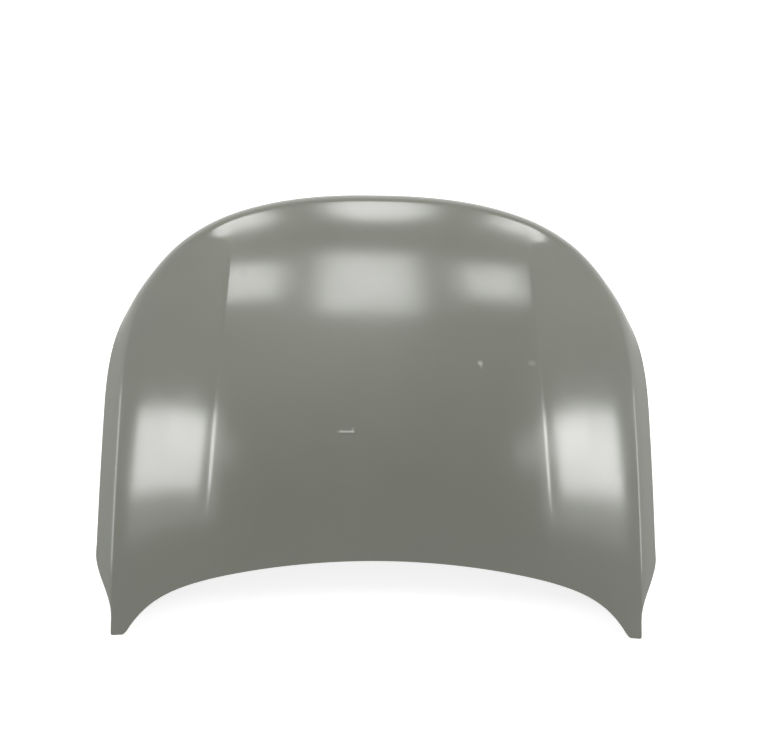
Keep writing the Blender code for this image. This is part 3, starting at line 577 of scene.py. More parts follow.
@dataclass(frozen=True)
class PanelForm:
    """The bonnet's outer form in metres: crown, creases, plan, folded strip and hem."""

    width: float = 1.533
    length: float = 1.275
    side_out: float = 0.0543
    side_drop: float = 0.055
    nose_out: float = 0.045
    nose_drop: float = 0.080
    side_lead: float = 0.011
    strip_end: float = 0.046
    strip_full: float = 0.227
    tip_width: float = 0.0395
    tip_round: float = 0.008
    tip_start: float = 0.985
    rear_sag: float = 0.1024
    prong_reach: float = 0.0777
    prong_power: float = 11.0
    corner_run: float = 0.5965
    corner_power: float = 2.5
    crown_run: float = 0.2994
    crown_long_r: float = 3.2
    crown_cross_r: float = 4.5
    nose_run: float = 0.4505
    nose_bend: float = 0.30
    crease_in: float = 0.2718
    crease_rake: float = 0.0469
    crease_round: float = 0.0022
    crease_front_gap: float = 0.115
    crease_fade: float = 0.13
    flank_r: float = 0.62
    roll: float = 0.0045
    roll_run: float = 0.055
    roll_front: float = 0.25
    roll_fade: float = 0.20
    lip: float = 0.0008
    lip_run: float = 0.003
    lip_rear: float = 0.04
    lip_rear_fade: float = 0.14
    lip_front: float = 0.40
    lip_front_fade: float = 0.12
    soft_run: float = 0.020
    flank_tilt: float = 0.040
    flank_bow_r: float = 0.693
    pitch: float = -0.03788778
    lift: float = 0.19438
    skin: float = 0.0008
    sheet: float = 0.0007
    gap: float = 0.0003
    hem: float = 0.011
    joggle: float = 0.0012
    flange_tip: float = 0.0014
    rear_points: int = 300
    side_points: int = 120
    corner_points: int = 500

    @property
    def half(self) -> float:
        """Distance of the shoulder line from the middle."""
        return self.width / 2 - self.side_out

    @property
    def nose_y(self) -> float:
        """Front end of the shoulder line."""
        return self.length / 2 - self.nose_out

    @property
    def tip_y(self) -> float:
        """Rear end of the prongs."""
        return -self.length / 2

    @property
    def tip_x(self) -> float:
        """Inner side of the prongs."""
        return self.half - self.tip_width

    @property
    def rear_y(self) -> float:
        """Middle of the rear edge."""
        return self.tip_y + self.prong_reach + self.rear_sag

    @property
    def corner_y(self) -> float:
        """Start of the front corners."""
        return self.nose_y - self.corner_run

    @property
    def stack(self) -> float:
        """Thickness of skin, flange and return with their gaps."""
        return 2 * self.skin + 2 * self.gap + self.sheet

    def crease(self, y: Array) -> Array:
        """Distance of the crease from the middle."""
        return self.half - self.crease_in - self.crease_rake * y

    def top(self, x: Array, y: Array) -> Array:
        """Height of the outer face inside the shoulder line.

        Args:
            x: places across.
            y: places along.

        Returns:
            Heights above the floor.
        """
        crown_y = self.rear_y + self.crown_run
        z = self.lift - (y - crown_y) ** 2 / (2 * self.crown_long_r)
        z = z - x ** 2 / (2 * self.crown_cross_r)
        z = z - self.nose_bend * np.maximum(0.0, y - self.nose_y + self.nose_run) ** 3
        d = np.abs(x) - self.crease(y)
        round_off = np.sqrt(d * d + self.crease_round ** 2)
        out, back = 0.5 * (round_off + d), 0.5 * (round_off - d)
        roll = self.roll * smooth((self.roll_front - y) / self.roll_fade)
        crisp = smooth((y - self.rear_y - self.lip_rear) / self.lip_rear_fade)
        crisp = crisp * smooth((self.lip_front - y) / self.lip_front_fade)
        run = self.soft_run + (self.lip_run - self.soft_run) * crisp
        creased = roll * np.exp(-back / self.roll_run) + self.flank_tilt * out
        creased = creased + (self.roll - roll) * (1.0 - np.exp(-out / self.soft_run))
        creased = creased + self.lip * (1.0 - np.exp(-out / run))
        creased = creased + out ** 2 / (2 * self.flank_bow_r)
        plain = np.maximum(0.0, d) ** 2 / (2 * self.flank_r)
        front = smooth((self.nose_y - self.crease_front_gap - y) / self.crease_fade)
        return z - plain - front * (creased - plain) - self.pitch * y

    def normal(self, x: Array, y: Array, e: float = 0.0004) -> Array:
        """Upward unit normal of the outer face.

        Args:
            x: places across.
            y: places along.
            e: reach of the slope's measure.

        Returns:
            Unit normals.
        """
        dx = (self.top(x + e, y) - self.top(x - e, y)) / (2 * e)
        dy = (self.top(x, y + e) - self.top(x, y - e)) / (2 * e)
        return unit(np.stack([-dx, -dy, np.ones_like(dx)], -1))

    def strip_fade(self, y: Array) -> Array:
        """Share of the folded strip's full size, which ends beside the prong."""
        return smooth((y - self.tip_y - self.strip_end) / (self.strip_full - self.strip_end))

    def plan_half(self) -> Array:
        """Shoulder line of the right half, rear centre to nose centre, finely stepped.

        Returns:
            Its plan points.
        """
        x = self.tip_x * np.linspace(0.0, self.tip_start, self.rear_points)
        u = x / self.tip_x
        y = self.rear_y - self.rear_sag * u ** 2 - self.prong_reach * u ** self.prong_power
        rear = np.stack([x, y], 1)
        r, tip = self.tip_round, self.tip_y
        inner = self.bend(rear[-1], (self.tip_x, tip), (self.tip_x + r, tip))
        outer = self.bend((self.half - r, tip), (self.half, tip), (self.half, tip + r))
        y = np.linspace(tip + r, self.corner_y, self.side_points)
        side = np.stack([np.full_like(y, self.half), y], 1)
        turn = np.linspace(0.0, math.pi / 2, self.corner_points)
        c = np.maximum(np.cos(turn), 0.0) ** (2 / self.corner_power)
        s = np.sin(turn) ** (2 / self.corner_power)
        front = np.stack([self.half * c, self.corner_y + (self.nose_y - self.corner_y) * s], 1)
        return np.concatenate([rear, inner[1:], outer, side[1:], front[1:]])

    @staticmethod
    def bend(a: Any, corner: Any, b: Any, count: int = 15) -> Array:
        """Quadratic curve that rounds a corner.

        Args:
            a: its start.
            corner: the corner.
            b: its end.
            count: number of points.

        Returns:
            Its points.
        """
        a, corner, b = np.array(a), np.array(corner), np.array(b)
        t = np.linspace(0.0, 1.0, count)[:, None]
        return (1 - t) ** 2 * a + 2 * t * (1 - t) * corner + t ** 2 * b


class Plan:
    """Plan shapes: loops, insides, distances and triangles."""

    @staticmethod
    def mirrored(half: Array) -> Array:
        """Close a half line with its mirror image.

        Args:
            half: the right half, whose ends lie on the middle.

        Returns:
            The loop.
        """
        other = half[-2:0:-1].copy()
        other[:, 0] *= -1
        return np.concatenate([half, other])

    @staticmethod
    def inside(points: Array, loop: Array) -> Array:
        """Which plan points lie inside a closed loop.

        Args:
            points: plan points.
            loop: the loop.

        Returns:
            Yes or no for each.
        """
        found = np.zeros(len(points), int)
        x, y = points[:, 0], points[:, 1]
        for a, b in zip(loop, np.roll(loop, -1, 0)):
            spans = (a[1] > y) != (b[1] > y)
            if spans.any():
                rise = b[1] - a[1] if b[1] != a[1] else 1.0
                found += spans & (x < (b[0] - a[0]) * (y - a[1]) / rise + a[0])
        return found % 2 == 1

    @staticmethod
    def clear_of(points: Array, loop: Array, gap: float) -> Array:
        """Which plan points keep a distance from a loop's stations.

        Args:
            points: plan points.
            loop: the loop.
            gap: the distance.

        Returns:
            Yes or no for each.
        """
        fine = Plan.divide(loop, gap)
        best = np.full(len(points), np.inf)
        for start in range(0, len(fine), 200):
            part = fine[start:start + 200]
            off = np.linalg.norm(points[:, None, :] - part[None, :, :], axis=2)
            best = np.minimum(best, off.min(axis=1))
        return best > gap

    @staticmethod
    def divide(loop: Array, step: float) -> Array:
        """Split the long sides of a loop.

        Args:
            loop: the loop.
            step: longest side.

        Returns:
            The finer loop.
        """
        out = []
        for a, b in zip(loop, np.roll(loop, -1, 0)):
            count = max(1, math.ceil(math.dist(a, b) / step))
            out += [a + (b - a) * k / count for k in range(count)]
        return np.array(out)

    @staticmethod
    def capsule(a: Array, b: Array, r: float, step: float) -> Array:
        """Loop at a distance round a line from a to b.

        Args:
            a: start of the line.
            b: its end.
            r: the distance.
            step: longest side.

        Returns:
            The loop.
        """
        d = unit(b - a)
        side = np.array([d[1], -d[0]])
        t = np.linspace(0.0, math.pi, 15)[:, None]
        far = b + r * (np.cos(t) * side + np.sin(t) * d)
        near = a + r * (-np.cos(t) * side - np.sin(t) * d)
        return Plan.divide(np.concatenate([far, near]), step)

    @staticmethod
    def rounded(centre: Pair, half: Pair, r: float, step: float) -> Array:
        """Rectangle with rounded corners.

        Args:
            centre: its middle.
            half: half its size.
            r: corner radius.
            step: longest side.

        Returns:
            The loop.
        """
        points = []
        steps = 8
        for k, (sx, sy) in enumerate(((1, 1), (-1, 1), (-1, -1), (1, -1))):
            for j in range(steps + 1):
                a = math.pi / 2 * (k + j / steps)
                x = sx * (half[0] - r) + r * math.cos(a)
                points.append((x, sy * (half[1] - r) + r * math.sin(a)))
        return Plan.divide(np.array(points), step) + centre

    @staticmethod
    def circle(centre: Pair, r: float, count: int = 24) -> Array:
        """Round loop."""
        a = 2 * math.pi * np.arange(count) / count
        return np.stack([centre[0] + r * np.cos(a), centre[1] + r * np.sin(a)], 1)

    @staticmethod
    def to_line(points: Array, a: Array, b: Array) -> Array:
        """Distance of plan points from a line between two ends.

        Args:
            points: plan points.
            a: start of the line.
            b: its end.

        Returns:
            Their distances.
        """
        d = b - a
        t = np.clip(((points - a) @ d) / (d @ d), 0.0, 1.0)
        return np.linalg.norm(points - a - t[:, None] * d, axis=1)

    @staticmethod
    def to_rounded(points: Array, centre: Pair, half: Pair, r: float) -> Array:
        """Signed distance of plan points from a rounded rectangle.

        Args:
            points: plan points.
            centre: its middle.
            half: half its size.
            r: corner radius.

        Returns:
            Their distances, less than 0 inside.
        """
        q = np.abs(points - np.array(centre)) - (np.array(half) - r)
        outer = np.linalg.norm(np.maximum(q, 0.0), axis=1)
        return outer + np.minimum(q.max(axis=1), 0.0) - r

    @staticmethod
    def triangulate(loops: list[Array], holes: list[Array], extra: Array,
                    lines: list[Array]) -> tuple[Array, Array, list[list[int]]]:
        """Triangles between the first loop and the holes.

        Args:
            loops: loops that the triangles follow; the first one bounds them.
            holes: loops that are left open.
            extra: free points.
            lines: open lines that the triangles follow.

        Returns:
            Plan points, triangles that face up, and the points of every loop and hole.
        """
        points, edges, rings = [], [], []
        for loop in loops + holes:
            start = len(points)
            ring = list(range(start, start + len(loop)))
            points += [tuple(p) for p in loop]
            edges += list(zip(ring, ring[1:] + ring[:1]))
            rings.append(ring)
        for line in lines:
            start = len(points)
            points += [tuple(p) for p in line]
            edges += [(start + k, start + k + 1) for k in range(len(line) - 1)]
        points += [tuple(p) for p in extra]
        plan = [Vector(p) for p in points]
        result = delaunay_2d_cdt(plan, edges, [], 0, 1e-7)
        xy = np.array([tuple(v) for v in result[0]])
        tris = np.array(result[2])
        centre = xy[tris].mean(axis=1)
        keep = Plan.inside(centre, loops[0])
        for hole in holes:
            low, high = hole.min(0), hole.max(0)
            near = keep & (centre >= low).all(1) & (centre <= high).all(1)
            keep[near] &= ~Plan.inside(centre[near], hole)
        tris = tris[keep]
        a, b, c = xy[tris[:, 0]], xy[tris[:, 1]], xy[tris[:, 2]]
        turn = (b - a)[:, 0] * (c - a)[:, 1] - (b - a)[:, 1] * (c - a)[:, 0]
        tris[turn < 0] = tris[turn < 0][:, ::-1]
        return xy, tris, rings


class Rim:
    """Stations round the bonnet and the outward profile of each one."""

    bend_weight = 0.22
    taper_weight = 0.30
    skin_inset = 0.014
    rear_inset = 0.026
    least_turn = 0.05
    most_room = 10.0
    front_turn = (0.15, 0.5)
    soft_turn = (0.12, 0.35)
    rear_turn = (-0.35, 0.3)
    inset_share = 0.6
    hem_share = 0.3
    top_steps = 25
    strip_steps = 97
    probe = 0.001
    normal_reach = 0.0015

    def __init__(self, form: PanelForm, half_stations: int) -> None:
        """Set out the stations and trace their profiles.

        Args:
            form: the outer form.
            half_stations: stations on one half.
        """
        self.form = form
        half = form.plan_half()
        points, out = self.pick(half, half_stations)
        self.points, self.out = Plan.mirrored(points), Plan.mirrored(out)
        self.count = len(self.points)
        self.room = self.find_room(Plan.mirrored(half))
        self.shape_strip()
        self.trace()

    def pick(self, line: Array, count: int) -> tuple[Array, Array]:
        """Stations along the line, closer together where it turns, with outward normals.

        Args:
            line: finely stepped half line.
            count: number of stations.

        Returns:
            Stations and normals.
        """
        step = np.diff(line, axis=0)
        heading = np.unwrap(np.arctan2(step[:, 1], step[:, 0]))
        weight = np.hypot(step[:, 0], step[:, 1])
        weight[1:] += self.bend_weight * np.abs(np.diff(heading))
        outer = line[1:, 0] > self.form.tip_x + self.form.tip_width / 2
        weight += self.taper_weight * outer * np.abs(np.diff(self.form.strip_fade(line[:, 1])))
        run = np.concatenate([[0.0], np.cumsum(weight)])
        at = np.linspace(0.0, run[-1], count)
        points = np.stack([np.interp(at, run, line[:, k]) for k in (0, 1)], 1)
        angle = np.interp(at, (run[1:] + run[:-1]) / 2, heading)
        out = np.stack([np.sin(angle), -np.cos(angle)], 1)
        out[0], out[-1] = (0.0, -1.0), (0.0, 1.0)
        return points, out

    def find_room(self, line: Array) -> Array:
        """Radius of the largest circle that touches each station from inside.

        Args:
            line: the whole shoulder line.

        Returns:
            Radii.
        """
        rel = line[None, :, :] - self.points[:, None, :]
        depth = -(rel * self.out[:, None, :]).sum(-1)
        square = (rel ** 2).sum(-1)
        ok = depth > self.least_turn * np.sqrt(square)
        radius = square / (2 * np.where(ok, depth, 1.0))
        return np.where(ok, radius, self.most_room).min(axis=1)

    def shape_strip(self) -> None:
        """Reach, drop and lead of the folded strip at every station."""
        f = self.form
        ny, y = self.out[:, 1], self.points[:, 1]
        turns = (self.front_turn, self.soft_turn, self.rear_turn)
        front, soft, side = (smooth((ny - start) / run) for start, run in turns)
        self.rise = f.strip_fade(y) * side
        self.reach = (f.side_out + (f.nose_out - f.side_out) * front) * self.rise
        self.drop = (f.side_drop + (f.nose_drop - f.side_drop) * front) * self.rise
        self.lead = (f.side_lead * (1 - soft) + soft * f.nose_out) * self.rise
        limit = self.skin_inset + (self.rear_inset - self.skin_inset) * (1 - self.rise)
        self.inset = np.minimum(limit, self.inset_share * self.room)
        self.hem = np.minimum(f.hem, self.hem_share * self.room)

    def trace(self) -> None:
        """Finely stepped profile of every station from the inset line to the edge."""
        f = self.form
        p, n = self.points[:, None, :], self.out[:, None, :]
        back = self.inset[:, None] * np.linspace(1.0, 0.0, self.top_steps)[None, :]
        plan = p - n * back[:, :, None]
        top = f.top(plan[..., 0], plan[..., 1])
        near = self.points - self.out * self.probe
        z0 = f.top(self.points[:, 0], self.points[:, 1])
        slope = (f.top(near[:, 0], near[:, 1]) - z0) / self.probe
        t = np.linspace(0.0, 1.0, self.strip_steps)[None, 1:]
        out = 2 * t * (1 - t) * self.lead[:, None] + t * t * self.reach[:, None]
        fall = 2 * t * (1 - t) * (self.lead * slope)[:, None] + t * t * self.drop[:, None]
        xy = np.concatenate([plan, p + n * out[:, :, None]], 1)
        z = np.concatenate([top, z0[:, None] - fall], 1)
        self.path = np.concatenate([xy, z[:, :, None]], 2)
        step = np.linalg.norm(np.diff(self.path, axis=1), axis=2)
        self.run = np.concatenate([np.zeros((self.count, 1)), np.cumsum(step, 1)], 1)
        self.length = self.run[:, -1]

    def row(self, back: Array | float) -> Array:
        """Points on the outer face that lie a path length back from the edge.

        Args:
            back: the path length.

        Returns:
            A point for each station.
        """
        at = (self.length - back)[:, None]
        i = np.clip((self.run < at).sum(1), 1, self.run.shape[1] - 1)
        k = np.arange(self.count)
        low, high = self.run[k, i - 1], self.run[k, i]
        t = ((at[:, 0] - low) / np.maximum(high - low, 1e-9))[:, None]
        return self.path[k, i - 1] * (1 - t) + self.path[k, i] * t

    def normals(self, back: Array | float) -> Array:
        """Outward unit normals of the outer face on a row.

        Args:
            back: the row's path length back from the edge.

        Returns:
            A normal for each station.
        """
        here = self.row(back)
        inner = self.row(np.minimum(back + self.normal_reach, self.length))
        outer = self.row(np.maximum(back - self.normal_reach, 0.0))
        along = np.roll(here, -1, 0) - np.roll(here, 1, 0)
        return unit(np.cross(outer - inner, along))


class Piece:
    """Helpers that turn points and faces into finished pieces."""

    @staticmethod
    def band(a: list[int], b: list[int], closed: bool = True) -> list[tuple[int, int, int]]:
        """Triangles between two rings that have the same stations.

        Args:
            a: points of one ring.
            b: points of the other.
            closed: whether the rings are closed.

        Returns:
            The triangles.
        """
        out = []
        for i in range(len(a) if closed else len(a) - 1):
            j = (i + 1) % len(a)
            out += [(a[i], a[j], b[j]), (a[i], b[j], b[i])]
        return out

    @staticmethod
    def mesh(name: str, points: Array, faces: Any, normals: Array | None = None) -> Mesh:
        """Smooth mesh with outward faces.

        Args:
            name: its name.
            points: its points in metres.
            faces: its faces as lists of points.
            normals: exact normals of the points, where they are known.

        Returns:
            The mesh.
        """
        mesh = bpy.data.meshes.new(name)
        corners = [tuple(map(int, face)) for face in faces]
        mesh.from_pydata(np.asarray(points, float).tolist(), [], corners)
        bm = bmesh.new()
        bm.from_mesh(mesh)
        bmesh.ops.recalc_face_normals(bm, faces=bm.faces)
        for face in bm.faces:
            face.smooth = True
        bm.to_mesh(mesh)
        bm.free()
        if normals is not None:
            mesh.normals_split_custom_set_from_vertices(np.asarray(normals, float).tolist())
        return mesh

    @staticmethod
    def show(mesh: Mesh, material: Material | None, slot: Slot, *nodes: str) -> Object:
        """Link a mesh as a piece that rides on the bonnet.

        Args:
            mesh: the finished mesh.
            material: its finish, or none where the mesh brings its own.
            slot: not used.
            nodes: CAD nodes that the piece stands for.

        Returns:
            The piece.
        """
        if material is not None:
            mesh.materials.clear()
            mesh.materials.append(material)
        item = add_object(mesh.name, mesh)
        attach(item, "root")
        if nodes:
            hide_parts(*nodes)
        LOG.info("%s: %d faces", item.name, len(mesh.polygons))
        return item


class GeometryGraph(Graph):
    """A geometry node tree with named inputs, run once on a base mesh."""

    def __init__(self, name: str) -> None:
        """New tree with geometry in and out.

        Args:
            name: its name.
        """
        super().__init__(bpy.data.node_groups.new(name, "GeometryNodeTree"))
        face = self.tree.interface
        face.new_socket(name="Geometry", in_out="OUTPUT", socket_type="NodeSocketGeometry")
        face.new_socket(name="Geometry", in_out="INPUT", socket_type="NodeSocketGeometry")
        self.inputs: dict[str, str] = {}
        self.sizes: dict[str, float | int] = {}
        self.entry: bpy.types.Node | None = None

    def size(self, name: str, value: float | int) -> None:
        """Declare a named input of the tree with its value.

        Args:
            name: its name.
            value: its value.
        """
        kind = "NodeSocketInt" if isinstance(value, int) else "NodeSocketFloat"
        socket = self.tree.interface.new_socket(name=name, in_out="INPUT", socket_type=kind)
        self.inputs[name] = socket.identifier
        self.sizes[name] = value

    def input(self, name: str) -> Value:
        """Value or geometry that comes in under a name.

        Args:
            name: the name.

        Returns:
            The value.
        """
        if self.entry is None:
            self.entry = self.tree.nodes.new("NodeGroupInput")
        return Value(self, self.entry.outputs[name])

    def random(self, low: float, high: float) -> Value:
        """Random number between two for every point, drawn from the input Seed."""
        values = {2: low, 3: high, "Seed": self.input("Seed")}
        return self.node("FunctionNodeRandomValue", {"data_type": "FLOAT"}, values, out=1)

    def balls(self, segments: int, rings: int, half: tuple[Value, Value],
              turn: Value | float = 0.0) -> Value:
        """Flattened balls on the points that come in.

        Args:
            segments: sides round each ball.
            rings: rings from its foot to its top.
            half: half its width and half its height.
            turn: its turn about Z in radians.

        Returns:
            The balls as instances.
        """
        dots = self.node("GeometryNodeMeshToPoints", None, {0: self.input("Geometry")})
        ball = self.node("GeometryNodeMeshUVSphere", None,
                         {"Segments": segments, "Rings": rings, "Radius": 1.0})
        scale = self.node("ShaderNodeCombineXYZ", None, {"X": half[0], "Y": half[0], "Z": half[1]})
        spin = self.node("ShaderNodeCombineXYZ", None, {"Z": turn})
        values = {0: dots, "Instance": ball, "Rotation": spin, "Scale": scale}
        return self.node("GeometryNodeInstanceOnPoints", None, values)

    def finish(self, geometry: Value) -> None:
        """Link what leaves the tree."""
        last = self.tree.nodes.new("NodeGroupOutput")
        self.feed(last.inputs[0], geometry)

    def dress(self, geometry: Value, material: Material) -> None:
        """Make the geometry real, smooth and painted, and let it leave the tree.

        Args:
            geometry: what the tree made.
            material: its finish.
        """
        real = self.node("GeometryNodeRealizeInstances", None, {0: geometry})
        soft = self.node("GeometryNodeSetShadeSmooth", None, {0: real})
        self.finish(self.node("GeometryNodeSetMaterial", None, {0: soft, "Material": material}))

    def run(self, name: str, points: Array, edges: list, faces: list,
            flags: dict[str, Array] | None = None) -> Mesh:
        """Run the tree on a base mesh.

        Args:
            name: name of the mesh it makes.
            points: points of the base mesh.
            edges: its loose edges.
            faces: its faces.
            flags: yes-or-no attributes of its points.

        Returns:
            The plain mesh that the tree made.
        """
        base = bpy.data.meshes.new(name + "_base")
        base.from_pydata(np.asarray(points, float).tolist(), edges, faces)
        for key, flag in (flags or {}).items():
            base.attributes.new(key, "BOOLEAN", "POINT").data.foreach_set("value", flag)
        item = add_object(name + "_base", base)
        modifier = item.modifiers.new(name, "NODES")
        modifier.node_group = self.tree
        for key, value in self.sizes.items():
            modifier[self.inputs[key]] = value
        view = bpy.context.evaluated_depsgraph_get()
        mesh = bpy.data.meshes.new_from_object(item.evaluated_get(view), depsgraph=view)
        mesh.name = name
        bpy.data.objects.remove(item, do_unlink=True)
        bpy.data.meshes.remove(base)
        return mesh


@dataclass
class OuterSkin:
    """The outer pressing, hemmed over the inner frame all round."""

    form: PanelForm
    finish: SkinPrimer = field(default_factory=SkinPrimer)
    half_stations: int = 250
    row_step: float = 0.010
    grid_clear: float = 0.006
    inner_columns: int = 38
    inset_rows: int = 3
    hem_rows: int = 7
    hem_share: float = 0.30
    panel_clear: float = 0.056
    crease_steps: tuple[float, ...] = (-0.040, -0.026, -0.015, -0.0075, -0.0038, -0.0018, -0.0007,
                                       0.0007, 0.0018, 0.0038, 0.0075)
    flank_start: float = 0.0125
    flank_step: float = 0.0115
    flank_span: float = 0.30
    fold_steps: int = 6
    fold_back: float = 1.15
    fold_reach: float = 0.0012

    def backs(self, rim: Rim) -> list[Array]:
        """Distances back from the edge of the rows between the inset line and the hem.

        Args:
            rim: the bonnet's rim.

        Returns:
            Distances of every row.
        """
        span = rim.length - rim.hem
        first = np.minimum(rim.inset / span, 0.5)
        rest, rows, share = 1 - first, self.hem_rows, self.hem_share
        shares = [first * k / self.inset_rows for k in range(1, self.inset_rows)]
        shares += [first + rest * share * k / rows for k in range(rows + 1)]
        shares += [first + rest * (share + (1 - share) * k / rows) for k in range(1, rows)]
        return [rim.length - span * share for share in shares] + [rim.hem]

    def grid(self, loop: Array) -> tuple[Array, list[Array]]:
        """Free points inside the inset line and the two crease lines.

        Args:
            loop: the inset line.

        Returns:
            The points, and the two lines.
        """
        f = self.form
        rows = np.arange(f.tip_y + self.row_step / 2, f.nose_y, self.row_step)
        points, lines = [], []
        flank = np.arange(self.flank_start, self.flank_span, self.flank_step)
        for y in rows:
            c = float(f.crease(y))
            edge = c - self.panel_clear
            inner = np.linspace(-edge, edge, self.inner_columns)
            points += [(x, y) for x in inner]
            for sign in (-1, 1):
                points += [(sign * (c + d), y) for d in (*self.crease_steps, *flank)]
        for side in Side:
            line = np.array([(side.value * f.crease(y), y) for y in rows])
            good = Plan.inside(line, loop) & Plan.clear_of(line, loop, self.grid_clear)
            lines.append(line[good])
        points = np.array(points)
        keep = Plan.inside(points, loop)
        points = points[keep]
        return points[Plan.clear_of(points, loop, self.grid_clear)], lines

    def build(self, rim: Rim) -> Object:
        """Build the skin and dress it.

        Args:
            rim: the bonnet's rim.

        Returns:
            The piece.
        """
        f, radius = self.form, self.form.stack / 2
        inset = rim.row(rim.length)
        extra, lines = self.grid(inset[:, :2])
        xy, tris, _ = Plan.triangulate([inset[:, :2]], [], extra, lines)
        n = f.normal(xy[:, 0], xy[:, 1])
        top = np.column_stack([xy, f.top(xy[:, 0], xy[:, 1])])
        rows = [(rim.row(b), rim.normals(b)) for b in self.backs(rim)]
        back = self.fold_back * radius
        turn, turn_n = rim.row(back), rim.normals(back)
        hem, hem_n = rows[-1]
        out = unit(turn - rim.row(back + self.fold_reach))
        centre = turn - turn_n * radius
        rings = rows + [(turn, turn_n)]
        rings += self.fold(centre, turn_n, out, radius, False)
        rings += [(turn - turn_n * f.stack, -turn_n), (hem - hem_n * f.stack, -hem_n)]
        inner = f.stack - f.skin
        rings += [(hem - hem_n * inner, hem_n), (turn - turn_n * inner, turn_n)]
        rings += self.fold(centre, turn_n, out, radius - f.skin, True)
        rings += [(turn - turn_n * f.skin, -turn_n)]
        rings += [(p - q * f.skin, -q) for p, q in rows[::-1]]
        size, count = len(top), rim.count
        points = np.concatenate([top, top - n * f.skin] + [p for p, _ in rings])
        normals = np.concatenate([n, -n] + [q for _, q in rings])
        points[:, 2] = np.maximum(points[:, 2], 0.0)
        faces = [tuple(t) for t in tris] + [tuple(t[::-1] + size) for t in tris]
        starts = [2 * size + k * count for k in range(len(rings))]
        chain = [list(range(start, start + count)) for start in [0, *starts, size]]
        for a, b in zip(chain, chain[1:]):
            faces += [t[::-1] for t in Piece.band(a, b)]
        mesh = Piece.mesh("skin_panel", points, faces, normals)
        return Piece.show(mesh, self.finish.material(), Slot.SKIN, "outer_skin")

    def fold(self, centre: Array, n: Array, out: Array, r: float, back: bool) -> list:
        """Rings round the folded edge.

        Args:
            centre: middle of the fold at every station.
            n: outward normals of the face.
            out: directions over the edge.
            r: the fold's radius.
            back: whether the rings run from the return to the face.

        Returns:
            Rings of points with their normals.
        """
        rings = []
        for k in range(1, self.fold_steps):
            a = math.pi * k / self.fold_steps
            if back:
                a = math.pi - a
            way = math.cos(a) * n + math.sin(a) * out
            rings.append((centre + way * r, -way if back else way))
        return rings


@dataclass
class Fan:
    """Lengthwise beads of the inner frame, with the slots between them."""

    form: PanelForm
    margin: float = 0.1237
    frame_inset: float = 0.032
    rear: float = 1.06
    front: float = 0.90
    sides: int = 3
    rear_gap: float = 0.126
    front_y: float = 0.2995
    rear_step: float = 0.004
    front_step: float = 0.012
    half: float = 0.029
    wall: float = 0.010
    depth: float = 0.0045
    slot_web: float = 0.0145
    slot_short: float = 0.030
    side_slot_short: float = 0.156

    @property
    def pitch(self) -> float:
        """Distance between neighbouring beads."""
        room = self.form.half - self.frame_inset - self.margin
        return room / (self.sides + 0.5) / self.rear

    @property
    def slot_half(self) -> float:
        """Half width of a slot."""
        return self.front * self.pitch / 2 - self.half - self.slot_web

    @property
    def rear_y(self) -> float:
        """Rear end of the middle bead's line."""
        return self.form.rear_y + self.rear_gap

    def line(self, k: float, short: float = 0.0) -> tuple[Array, Array]:
        """Ends of the line of a bead or slot, counted from the middle.

        Args:
            k: its place from the middle, in beads.
            short: cut from each end.

        Returns:
            Rear and front end.
        """
        rear = self.rear_y - self.rear_step * abs(k) + short
        front = self.front_y - self.front_step * k * k - short
        a = np.array([self.rear * self.pitch * k, rear])
        return a, np.array([self.front * self.pitch * k, front])

    def beads(self) -> list[tuple[Array, Array]]:
        """Lines of all the beads."""
        return [self.line(k) for k in range(-self.sides, self.sides + 1)]

    def slots(self) -> list[tuple[Array, Array]]:
        """Lines of all the slots.

        Returns:
            Rear and front end of each.
        """
        out = [self.line(k + 0.5, self.slot_short) for k in range(-self.sides, self.sides)]
        for side in Side:
            m = side.value * (self.sides + 0.5)
            short = self.side_slot_short
            a = np.array([self.rear * self.pitch * m, self.rear_y + short])
            out.append((a, np.array([self.front * self.pitch * m, self.front_y - short])))
        return out


@dataclass
class Pads:
    """Flat pads of the inner frame for the hinges and the latch."""

    form: PanelForm
    hinge_x: float = 0.5802
    hinge_y: float = -0.4304
    hinge_half: Pair = (0.032, 0.042)
    hinge_round: float = 0.012
    hinge_bolt: float = 0.022
    hinge_hole: float = 0.0045
    latch_y: float = 0.4655
    latch_half: Pair = (0.130, 0.038)
    latch_round: float = 0.014
    latch_bolt: float = 0.034
    latch_hole: float = 0.0035
    blend: float = 0.012

    @property
    def hinge_z(self) -> float:
        """Upper face of the hinge pads, just under their reinforcement plates."""
        return float(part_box("hinge_plate_left")[0][2]) - self.form.gap

    @property
    def latch_z(self) -> float:
        """Upper face of the latch pad, just under its reinforcement plate."""
        return float(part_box("latch_plate")[0][2]) - self.form.gap

    def hinge_bolts(self, side: Side) -> list[Pair]:
        """Bolt places on one hinge pad, rear one first."""
        return [(side.value * self.hinge_x, self.hinge_y + d * self.hinge_bolt) for d in (-1, 1)]

    def latch_bolts(self) -> list[Pair]:
        """Bolt places on the latch pad."""
        return [(side.value * self.latch_bolt, self.latch_y) for side in Side]

    def areas(self) -> list[tuple[Pair, Pair, float, float]]:
        """Middle, half size, corner radius and height of every pad.

        Returns:
            One entry for each pad.
        """
        hinge = [((side.value * self.hinge_x, self.hinge_y), self.hinge_half,
                  self.hinge_round, self.hinge_z) for side in Side]
        return hinge + [((0.0, self.latch_y), self.latch_half, self.latch_round, self.latch_z)]


